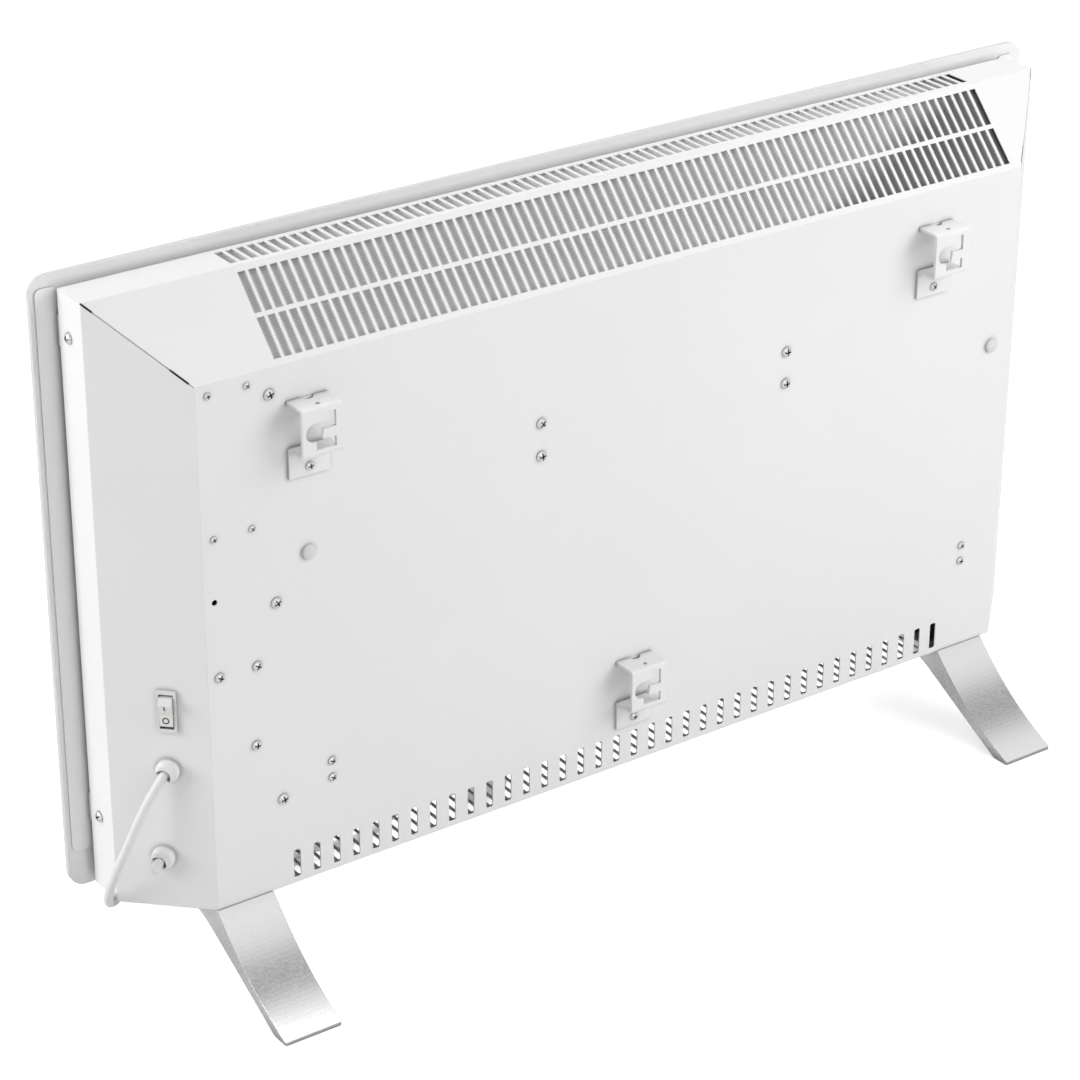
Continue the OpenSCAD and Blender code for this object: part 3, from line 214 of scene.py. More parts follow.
class Effects:
    """Builds the shader groups, each once."""

    def skin(self) -> None:
        """Makes the fine pebbled skin of a coat or moulding, with a faint drift of tone."""
        canvas, source = shared_group(Effect.SKIN, {"Grain": 900.0, "Drift": 6.0}, ("Height", "Tone", "Gloss"))
        fine = canvas.noise(canvas.place(), Scale=source.outputs["Grain"], Detail=2.0, Roughness=0.55)
        broad = canvas.noise(canvas.place(), Scale=source.outputs["Drift"], Detail=1.0)
        canvas.add("NodeGroupOutput", {"Height": fine, "Tone": broad, "Gloss": fine})

    def brushing(self) -> None:
        """Makes fine lines along one axis, as rolling or brushing leaves them."""
        along = {"Along X": 20.0, "Along Y": 900.0, "Along Z": 900.0}
        canvas, source = shared_group(Effect.BRUSHING, along, ("Height", "Tone", "Gloss"))
        stretch = canvas.add("ShaderNodeCombineXYZ", {axis: source.outputs[f"Along {axis}"] for axis in "XYZ"})
        drawn = canvas.add("ShaderNodeVectorMath", {0: canvas.place(), 1: stretch.outputs[0]}, operation="MULTIPLY")
        lines = canvas.noise(drawn.outputs[0], Scale=1.0, Detail=3.0)
        canvas.add("NodeGroupOutput", {"Height": lines, "Tone": lines, "Gloss": lines})

    def softening(self) -> None:
        """Makes normals that run softly over folds and moulded edges."""
        canvas, source = shared_group(Effect.SOFTENING, {"Radius": 0.0006}, ("Normal",), "NodeSocketVector")
        bevel = canvas.add("ShaderNodeBevel", {"Radius": source.outputs["Radius"]}, samples=SHADE_RAYS)
        canvas.add("NodeGroupOutput", {"Normal": bevel.outputs[0]})

    def crevices(self) -> None:
        """Makes the shade that gathers in seams, slits and recesses: a factor for the colour, 1 in the open."""
        sizes = {"Reach": 0.004, "Depth": 0.4, "Closed": 0.0, "Open": 0.75}
        canvas, source = shared_group(Effect.CREVICES, sizes, ("Shade",))
        reach, depth, closed, free = (source.outputs[name] for name in sizes)
        share = canvas.add("ShaderNodeAmbientOcclusion", {"Distance": reach}, samples=SHADE_RAYS).outputs["AO"]
        shade = canvas.spread(share, (closed, free), (canvas.math("SUBTRACT", 1.0, depth), 1.0))
        canvas.add("NodeGroupOutput", {"Shade": shade})

    def build(self) -> None:
        """Builds every group."""
        for make in (self.skin, self.brushing, self.softening, self.crevices):
            make()


@dataclass(frozen=True)
class Crevice:
    """Shade in crevices.

    Attributes:
        reach: how far from a crevice it reaches, in metres.
        depth: how much darker the colour is in the deepest crevice.
        closed: how open a place is where the shade is full.
        free: how open a place is where it ends.
    """

    reach: float
    depth: float
    closed: float
    free: float


@dataclass(frozen=True)
class Finish:
    """Plain moulded or coated surface: one colour with a fine skin and soft edges.

    Attributes:
        name: the material's name.
        colour: linear base colour.
        roughness: middle roughness.
        roughness_spread: how far the roughness swings with the skin.
        tone_spread: how far the colour drifts over the surface.
        grain: scale of the fine skin, per metre.
        grain_height: height of the skin's bump, in metres.
        edge_radius: radius of the softened edges, in metres.
        metallic: 0 or 1.
        coat: weight of a clear coat.
        coat_roughness: roughness of the clear coat.
        transmission: weight of light let through.
        ior: refractive index.
        crevice: its shade in crevices, where it has some.
    """

    name: str
    colour: Colour
    roughness: float = 0.45
    roughness_spread: float = 0.06
    tone_spread: float = 0.02
    grain: float = 900.0
    grain_height: float = 0.00002
    edge_radius: float = 0.0006
    metallic: float = 0.0
    coat: float = 0.0
    coat_roughness: float = 0.1
    transmission: float = 0.0
    ior: float = 1.5
    crevice: Optional[Crevice] = None

    def build(self) -> bpy.types.Material:
        """Builds the material.

        Returns:
            The new material.
        """
        material = bpy.data.materials.new(self.name)
        canvas = Canvas.on(material)
        shader = canvas.add("ShaderNodeBsdfPrincipled", {
            "Metallic": self.metallic, "Coat Weight": self.coat, "Coat Roughness": self.coat_roughness,
            "Transmission Weight": self.transmission, "IOR": self.ior,
            "Base Color": self.shaded(canvas), "Roughness": self.gloss(canvas), "Normal": self.normal(canvas),
        })
        canvas.add("ShaderNodeOutputMaterial", {"Surface": shader.outputs[0]})
        return material

    def pattern(self, canvas: Canvas) -> Node:
        """Returns the group node whose Height, Tone and Gloss the finish reads."""
        return canvas.group(Effect.SKIN, Grain=self.grain)

    def normal(self, canvas: Canvas) -> Socket:
        """Lays the skin over softened edges.

        Args:
            canvas: the material's canvas.

        Returns:
            The normal.
        """
        soft = canvas.group(Effect.SOFTENING, Radius=self.edge_radius)
        bump = canvas.add("ShaderNodeBump", {
            "Height": self.pattern(canvas).outputs["Height"], "Normal": soft.outputs["Normal"],
            "Strength": 1.0, "Distance": self.grain_height,
        })
        return bump.outputs["Normal"]

    def shaded(self, canvas: Canvas) -> Socket:
        """Darkens the colour in crevices, where the finish has such shade.

        Args:
            canvas: the material's canvas.

        Returns:
            The colour.
        """
        colour, shade = self.tint(canvas), self.crevice
        if shade is None:
            return colour
        sizes = {"Reach": shade.reach, "Depth": shade.depth, "Closed": shade.closed, "Open": shade.free}
        return canvas.scaled(colour, canvas.group(Effect.CREVICES, **sizes).outputs["Shade"])

    def tint(self, canvas: Canvas) -> Socket:
        """Returns the base colour with its drift of tone."""
        tone = self.pattern(canvas).outputs["Tone"]
        return canvas.scaled(self.colour, canvas.spread(tone, NOISE_SPAN, (1.0 - self.tone_spread, 1.0)))

    def gloss(self, canvas: Canvas) -> Socket:
        """Returns the roughness with its spread."""
        ends = (self.roughness - self.roughness_spread, self.roughness + self.roughness_spread)
        return canvas.spread(self.pattern(canvas).outputs["Gloss"], NOISE_SPAN, ends)


@dataclass(frozen=True)
class BrushedMetal(Finish):
    """Metal with fine lines along one axis.

    Attributes:
        lines: how often the lines change along X, Y and Z, per metre.
    """

    metallic: float = 1.0
    lines: Point = (20.0, 900.0, 900.0)

    def pattern(self, canvas: Canvas) -> Node:
        """Returns the group node of the brushed lines."""
        return canvas.group(Effect.BRUSHING, **{f"Along {axis}": v for axis, v in zip("XYZ", self.lines)})


@dataclass(frozen=True)
class NetFinish(Finish):
    """Expanded net: round holes in rows, painted darker than the strands between them as shade seen through the
    holes.

    Attributes:
        pitch: distance between holes, in metres.
        hole_share: radius of a hole as a share of the pitch.
        hole_edge: width of its soft edge, as such a share.
        hole_colour: linear colour painted in the holes, a painted shade for what is seen through them.
        shade_ends: X at which the painted shade starts and is full, in metres, at height 0.
        shade_slant: how far those places move along X for each metre of height, so that the painted shade slants.
        shade_darkest: how dark the painted shade makes the net where it is full.
    """

    pitch: float = 0.0011
    hole_share: float = 0.28
    hole_edge: float = 0.1
    hole_colour: Colour = (0.31, 0.31, 0.31)
    shade_ends: Pair = (1.108, 1.062)
    shade_slant: float = 2.85
    shade_darkest: float = 0.36

    def holes(self, canvas: Canvas) -> Socket:
        """Marks the holes.

        Args:
            canvas: the material's canvas.

        Returns:
            A mask that is 1 in the holes.
        """
        sizes = {"Vector": canvas.place(), "Scale": 1.0 / self.pitch, "Randomness": 0.0}
        away = canvas.add("ShaderNodeTexVoronoi", sizes).outputs["Distance"]
        return canvas.spread(away, (self.hole_share, self.hole_share + self.hole_edge), (1.0, 0.0))

    def painted_shade(self, canvas: Canvas) -> Socket:
        """Works out the painted shade that darkens the net past a slanted X.

        Args:
            canvas: the material's canvas.

        Returns:
            The shade factor, 1 where there is no painted shade.
        """
        # Painted shade: the net's colour is darkened from a slanted X onwards.
        parts = canvas.add("ShaderNodeSeparateXYZ", {"Vector": canvas.place()}).outputs
        slanted = canvas.math("MULTIPLY_ADD", parts["Z"], self.shade_slant, parts["X"])
        return canvas.spread(slanted, self.shade_ends[::-1], (self.shade_darkest, 1.0))

    def tint(self, canvas: Canvas) -> Socket:
        """Returns the strand colour with holes painted darker and painted shade past a slanted X."""
        # Painted shade: the holes get a darker grey that stands for what is seen through them.
        net = canvas.blend(self.holes(canvas), (*self.colour, 1.0), (*self.hole_colour, 1.0))
        return canvas.scaled(net, self.painted_shade(canvas))


@dataclass(frozen=True)
class CoatedGlass(Finish):
    """Polished glass over a coat: one tone on the front, another on the back, greyer at the edge.

    Attributes:
        back_colour: linear colour of the coated back.
        edge_colour: linear colour of the ground edge.
        square: how squarely a face has to look forwards or back, as the Y of its normal.
    """

    back_colour: Colour = (0.6, 0.6, 0.6)
    edge_colour: Colour = (0.45, 0.5, 0.49)
    square: float = 0.9

    def tint(self, canvas: Canvas) -> Socket:
        """Chooses the tone by the way that the surface faces.

        Args:
            canvas: the material's canvas.

        Returns:
            The colour.
        """
        way = canvas.add("ShaderNodeSeparateXYZ", {"Vector": canvas.place("Normal")}).outputs["Y"]
        back = canvas.math("GREATER_THAN", way, self.square)
        front = canvas.math("LESS_THAN", way, -self.square)
        behind = canvas.blend(back, (*self.edge_colour, 1.0), (*self.back_colour, 1.0))
        return canvas.blend(front, behind, (*self.colour, 1.0))


def finishes() -> dict[Slot, Finish]:
    """Lists the finishes.

    Returns:
        The finish of each material slot.
    """
    return {
        Slot.COAT: Finish(
            "white_powder_coat", (0.80, 0.80, 0.80), 0.48, grain=1400.0, edge_radius=0.0007,
            crevice=Crevice(0.004, 0.5, 0.35, 0.95),
        ),
        Slot.RAIL: Finish(
            "light_grey_coat", (0.86, 0.86, 0.86), 0.5, grain=1400.0, edge_radius=0.0005,
            crevice=Crevice(0.007, 0.85, 0.45, 0.6),
        ),
        Slot.GLASS: CoatedGlass(
            "coated_glass", (0.84, 0.85, 0.85), 0.05, 0.01, grain_height=0.0, coat=1.0, coat_roughness=0.02,
            edge_radius=0.0003, back_colour=(0.80, 0.80, 0.80), edge_colour=(0.60, 0.61, 0.61),
        ),
        Slot.DISPLAY: Finish("display_housing", (0.02, 0.02, 0.022), 0.35),
        Slot.ZINC: BrushedMetal("zinc_sheet", (0.62, 0.63, 0.64), 0.35, 0.08, lines=(30.0, 700.0, 700.0)),
        Slot.SCREEN: NetFinish("vent_net", (0.62, 0.62, 0.62), 0.6),
        Slot.BOARD: Finish("solder_mask", (0.03, 0.12, 0.05), 0.35, coat=0.3),
        Slot.PLASTIC: Finish(
            "white_moulding", (0.77, 0.77, 0.76), 0.38, grain=1800.0, crevice=Crevice(0.004, 0.7, 0.2, 0.9),
        ),
        Slot.ELEMENT: BrushedMetal("element_fins", (0.6, 0.6, 0.6), 0.4, lines=(200.0, 500.0, 500.0)),
        Slot.FOOT: BrushedMetal(
            "satin_aluminium", (0.80, 0.80, 0.80), 0.25, 0.04, 0.03, grain_height=0.000002, edge_radius=0.0006,
            lines=(360.0, 600.0, 600.0), crevice=Crevice(0.014, 0.6, 0.35, 0.95),
        ),
        Slot.SCREW: BrushedMetal(
            "zinc_plate", (0.75, 0.75, 0.76), 0.22, lines=(600.0, 600.0, 600.0), edge_radius=0.0001,
            crevice=Crevice(0.002, 0.97, 0.35, 0.85),
        ),
        Slot.CLEAR: Finish("clear_moulding", (0.9, 0.91, 0.91), 0.2, transmission=0.25, ior=1.3),
        Slot.SWITCH: Finish(
            "switch_moulding", (0.75, 0.75, 0.74), 0.25, edge_radius=0.0003,
            crevice=Crevice(0.003, 0.6, 0.2, 0.95),
        ),
        Slot.CORD: Finish("cord_sheath", (0.74, 0.74, 0.73), 0.42, grain=2500.0),
        Slot.PIN: BrushedMetal("nickel_pins", (0.7, 0.69, 0.66), 0.2, lines=(800.0, 800.0, 800.0)),
    }


def new_piece(name: str, data: bpy.types.ID) -> Piece:
    """Links an object at the origin to the scene.

    Args:
        name: its name.
        data: its mesh, curve, lamp or camera.

    Returns:
        The object.
    """
    piece = bpy.data.objects.new(name, data)
    bpy.context.scene.collection.objects.link(piece)
    return piece


@dataclass
class PhotoCamera:
    """Camera solved from the photograph.

    Attributes:
        lens: focal length in millimetres.
        azimuth: direction of the view axis about +Z, in degrees from -Y.
        elevation: its height over the floor, in degrees.
        roll: turn about the view axis, in degrees.
        shift_mm: the cover's lower front middle in camera axes, right, up and away, in millimetres.
        anchor: that point in the model's frame, in metres.
    """

    lens: float = 112.0
    azimuth: float = 144.67
    elevation: float = 26.613
    roll: float = 0.21
    shift_mm: Point = (17.173, -127.145, 2460.652)
    anchor: Point = (0.0025, -0.04175, 0.0605)

    def axes(self) -> tuple[Vector, Vector, Vector]:
        """Works out how the camera is turned.

        Returns:
            Its right, up and backward directions.
        """
        a, e, r = (math.radians(v) for v in (self.azimuth, self.elevation, self.roll))
        back = Vector((math.sin(a) * math.cos(e), -math.cos(a) * math.cos(e), math.sin(e)))
        level = Vector((math.cos(a), math.sin(a), 0.0))
        plumb = back.cross(level)
        right = level * math.cos(r) + plumb * math.sin(r)
        up = plumb * math.cos(r) - level * math.sin(r)
        return right, up, back

    def build(self) -> Piece:
        """Makes the scene's camera.

        Returns:
            The camera object.
        """
        right, up, back = self.axes()
        x, y, z = (v * MM for v in self.shift_mm)
        spot = Vector(self.anchor) - right * x - up * y + back * z
        data = bpy.data.cameras.new("photo_camera")
        data.lens = self.lens
        data.sensor_width = SENSOR_MM
        data.clip_end = VIEW_DEPTH
        camera = new_piece("photo_camera", data)
        camera.matrix_world = Matrix.Translation(spot) @ Matrix((right, up, back)).transposed().to_4x4()
        bpy.context.scene.camera = camera
        log.info("camera at %s", [round(v, 4) for v in spot])
        return camera


@dataclass
class Studio:
    """Pale floor and soft light.

    Attributes:
        floor_size: side of the floor, in metres.
        floor_colour: linear grey of the floor.
        floor_glow: how much whiter the floor shows to the camera than its light makes it.
        sky: strength of the world's light.
        gap_side: direction square to the long unlit gap in the studio's ceiling, which mirror rays see.
        gap_strength: strength in the middle of that gap.
        gap_edges: sines of the angles from the gap's middle at which it is still full and has ended.
        aim: the point that every lamp faces.
        lamps: name, place, size and power of each soft lamp.
        unmirrored: lamps that metal doesn't mirror.
    """

    floor_size: float = 40.0
    floor_colour: float = 0.75
    floor_glow: float = 0.62
    sky: float = 0.42
    gap_side: Point = (0.0, 0.963, -0.27)
    gap_strength: float = 0.34
    gap_edges: Pair = (0.07, 0.16)
    aim: Point = (0.0, 0.0, 0.25)
    lamps: Sequence[tuple[str, Point, float, float]] = (
        ("side_lamp", (3.2, -1.2, 1.6), 2.0, 82.0),
        ("top_lamp", (-0.3, -0.9, 3.2), 2.4, 27.0),
        ("near_lamp", (-1.15, 1.45, 1.35), 1.8, 28.5),
        ("rear_lamp", (0.5, 3.6, 1.6), 2.6, 8.0),
    )
    unmirrored: Sequence[str] = ("near_lamp",)

    def world(self) -> None:
        """Lights the world evenly and shows it white to camera, mirror and clear rays."""
        world = bpy.data.worlds.new("studio_air")
        bpy.context.scene.world = world
        canvas = Canvas.on(world)
        path = canvas.add("ShaderNodeLightPath").outputs
        seen = canvas.math("MAXIMUM", path["Is Camera Ray"], path["Is Glossy Ray"])
        shown = canvas.math("MAXIMUM", seen, path["Is Transmission Ray"])
        ways = {0: canvas.place("Generated"), 1: Vector(self.gap_side).normalized()}
        side = canvas.add("ShaderNodeVectorMath", ways, operation="DOT_PRODUCT")
        off = canvas.math("ABSOLUTE", side.outputs["Value"])
        white = canvas.spread(off, self.gap_edges, (self.gap_strength, 1.0), interpolation_type="SMOOTHSTEP")
        strength = canvas.spread(shown, (0.0, 1.0), (self.sky, white))
        light = canvas.add("ShaderNodeBackground", {"Strength": strength, "Color": WHITE})
        canvas.add("ShaderNodeOutputWorld", {"Surface": light.outputs[0]})

    def floor(self) -> Piece:
        """Lays the floor.

        Returns:
            The floor object.
        """
        half, grey = self.floor_size / 2, self.floor_colour
        mesh = bpy.data.meshes.new("studio_floor")
        corners = [(-half, -half, 0), (half, -half, 0), (half, half, 0), (-half, half, 0)]
        mesh.from_pydata(corners, [], [(0, 1, 2, 3)])
        floor = new_piece("studio_floor", mesh)
        material = bpy.data.materials.new("studio_floor")
        canvas = Canvas.on(material)
        path = canvas.add("ShaderNodeLightPath").outputs
        matt = canvas.add("ShaderNodeBsdfDiffuse", {"Color": (grey, grey, grey, 1.0)})
        strength = canvas.spread(path["Is Camera Ray"], (0.0, 1.0), (0.0, self.floor_glow))
        glow = canvas.add("ShaderNodeEmission", {"Strength": strength})
        both = canvas.add("ShaderNodeAddShader", {0: matt.outputs[0], 1: glow.outputs[0]})
        canvas.add("ShaderNodeOutputMaterial", {"Surface": both.outputs[0]})
        mesh.materials.append(material)
        return floor

    def light(self) -> None:
        """Hangs the soft lamps."""
        for name, place, size, power in self.lamps:
            data = bpy.data.lights.new(name, "AREA")
            data.shape = "DISK"
            data.size = size
            data.energy = power
            lamp = new_piece(name, data)
            lamp.location = place
            lamp.rotation_euler = (Vector(self.aim) - Vector(place)).to_track_quat("-Z", "Y").to_euler()
            lamp.visible_glossy = name not in self.unmirrored
            log.info("lamp %s", name)

    def build(self) -> None:
        """Sets up the whole studio."""
        for make in (self.world, self.floor, self.light):
            make()
        bpy.context.scene.view_settings.view_transform = "Standard"


@dataclass
class Workshop:
    """Keeps the built materials and puts finished pieces on their bodies.

    Attributes:
        materials: built material of each slot.
    """

    materials: dict[Slot, bpy.types.Material] = field(default_factory=dict)

    def prepare(self) -> None:
        """Builds the shared effects and every finish."""
        Effects().build()
        for slot, finish in finishes().items():
            self.materials[slot] = finish.build()
            log.info("finish %s for slot %s", finish.name, slot.value)

    def dress_frame(self) -> None:
        """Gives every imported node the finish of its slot."""
        wanted = {entry["node"]: entry["material_slot"] for entry in frame["record"]["subparts"]}
        for name, piece in frame["nodes"].items():
            material = self.materials[Slot(wanted[name])]
            for place in piece.material_slots:
                place.material = material
            log.info("node %s wears %s", name, material.name)

    def place(self, piece: Piece, body: Body, slot: Slot, replaces: Sequence[str] = ()) -> None:
        """Puts a new piece on its body, in its finish.

        Args:
            piece: the finished piece.
            body: the body it rides on.
            slot: the slot it takes its finish from, unless it has one of its own.
            replaces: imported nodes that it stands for.
        """
        if not piece.data.materials:
            piece.data.materials.append(self.materials[slot])
        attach(piece, body.value)
        if replaces:
            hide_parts(*replaces)
        log.info("piece %s rides on %s", piece.name, body.value)


def skin_of(node: str) -> bmesh.types.BMesh:
    """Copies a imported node's mesh.

    Args:
        node: the node's name.

    Returns:
        The copy, to be freed after use.
    """
    mesh = bmesh.new()
    mesh.from_mesh(frame["nodes"][node].data)
    return mesh


def solids(node: str) -> list[tuple[Vector, Vector]]:
    """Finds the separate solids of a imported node.

    Args:
        node: the node's name.

    Returns:
        Lowest and highest corner of each solid, in a steady order.
    """
    mesh = skin_of(node)
    bmesh.ops.remove_doubles(mesh, verts=mesh.verts, dist=WELD)
    boxes = []
    seen: set[bmesh.types.BMVert] = set()
    for first in mesh.verts:
        if first in seen:
            continue
        seen.add(first)
        patch, queue = [], [first]
        while queue:
            vert = queue.pop()
            patch.append(vert.co.copy())
            for edge in vert.link_edges:
                other = edge.other_vert(vert)
                if other not in seen:
                    seen.add(other)
                    queue.append(other)
        low, high = (Vector([end(p[i] for p in patch) for i in range(3)]) for end in (min, max))
        boxes.append((low, high))
    mesh.free()
    return sorted(boxes, key=lambda box: [round(v, 4) for v in box[0]])


def smooth_line(points: Sequence[Vector], steps: int) -> list[Vector]:
    """Runs a smooth line through points.

    Args:
        points: the points, in order.
        steps: parts between two points.

    Returns:
        The denser line, with both end points.
    """
    line: list[Vector] = []
    last = len(points) - 1
    for i in range(last):
        p0, p1, p2, p3 = points[max(i - 1, 0)], points[i], points[i + 1], points[min(i + 2, last)]
        for k in range(steps):
            t = k / steps
            line.append(
                0.5 * (
                    2 * p1 + (p2 - p0) * t + (2 * p0 - 5 * p1 + 4 * p2 - p3) * t * t
                    + (3 * p1 - p0 - 3 * p2 + p3) * t * t * t
                )
            )
    line.append(points[last].copy())
    return line


@dataclass
class Lead:
    """Mains lead from the bush to the plug, in metres.

    Attributes:
        diameter: thickness of the sheath.
        run: route from the bush to the coil.
        tail: route from the coil to the plug.
        turns: turns of the coil, half of them in each layer.
        gap: air between turns and layers.
        mid_share: middle radius of the coil in diameters.
        climb: share of a turn in which the lead climbs to the upper layer.
        parts: parts of one turn.
        smoothing: parts between two points of a given route.
        roundness: how finely the sheath's section is rounded.
    """

    diameter: float = 0.0064
    run: Sequence[Point] = (
        (0.3661, 0.0229, 0.1661), (0.369, 0.0231, 0.1626), (0.3753, 0.0217, 0.1527), (0.3814, 0.0202, 0.1424),
        (0.3868, 0.0189, 0.1316), (0.3913, 0.0171, 0.1206), (0.3951, 0.0144, 0.1095), (0.3981, 0.0105, 0.0985),
        (0.4, 0.0058, 0.0875), (0.4004, 0.0003, 0.0768), (0.3991, -0.0058, 0.0664), (0.3952, -0.0127, 0.0571),
        (0.3879, -0.0202, 0.0513), (0.3796, -0.0285, 0.0485), (0.3719, -0.0377, 0.0475), (0.364, -0.0468, 0.0475),
        (0.3551, -0.0549, 0.0479), (0.3445, -0.0606, 0.0482), (0.331, -0.0628, 0.0482), (0.317, -0.0632, 0.0481),
        (0.3045, -0.0632, 0.0472), (0.294, -0.0627, 0.0432), (0.2852, -0.0618, 0.036), (0.2775, -0.0609, 0.0266),
        (0.2695, -0.0603, 0.0169), (0.26, -0.06, 0.0087), (0.248, -0.06, 0.0043), (0.235, -0.06, 0.0032),
    )
    tail: Sequence[Point] = (
        (0.2222, -0.06, 0.0102), (0.21, -0.06, 0.0096), (0.198, -0.06, 0.007), (0.186, -0.0605, 0.0042),
        (0.174, -0.0615, 0.0032), (0.162, -0.0625, 0.0032), (0.151, -0.0635, 0.0046), (0.1405, -0.0645, 0.0088),
        (0.1305, -0.065, 0.0142), (0.1195, -0.065, 0.0178), (0.108, -0.065, 0.0185),
    )
    turns: int = 5
    gap: float = 0.0006
    mid_share: float = 5.5
    climb: float = 0.5
    parts: int = 48
    smoothing: int = 4
    roundness: int = 4

    def coil(self) -> list[Vector]:
        """Works out the coil's turns, in on the floor and out again above.

        Returns:
            The coil's points, between its straight ends.
        """
        pitch = self.diameter + self.gap
        outer = self.mid_share * self.diameter + pitch * self.turns / 4
        start = Vector(self.run[-1])
        hub = Vector((start.x - self.diameter, start.y - outer, start.z))
        points = []
        half = self.turns / 2
        for k in range(self.turns * self.parts + 1):
            turn = k / self.parts
            radius = outer - pitch * (half - abs(turn - half))
            rise = min(1.0, max(0.0, (turn - half) / self.climb + 0.5))
            angle = math.radians(90 + 360 * turn)
            points.append(hub + Vector((radius * math.cos(angle), radius * math.sin(angle), pitch * rise)))
        return points

    def route(self) -> list[Vector]:
        """Returns the whole centre line, from the bush to the plug."""
        run, tail = (smooth_line([Vector(p) for p in part], self.smoothing) for part in (self.run, self.tail))
        return run + self.coil() + tail

    def build(self, workshop: Workshop) -> Piece:
        """Args:
            workshop: holds the finishes.

        Returns:
            The lead.
        """
        route = self.route()
        curve = bpy.data.curves.new("mains_lead", "CURVE")
        curve.dimensions = "3D"
        curve.bevel_depth = self.diameter / 2
        curve.bevel_resolution = self.roundness
        curve.use_fill_caps = True
        spline = curve.splines.new("POLY")
        spline.points.add(len(route) - 1)
        for target, point in zip(spline.points, route):
            target.co = (*point, 1.0)
        spline.use_smooth = True
        lead = new_piece("mains_lead", curve)
        workshop.place(lead, Body.HEATER, Slot.CORD, ("cord_lead", "cord_coil", "cord_tail"))
        return lead


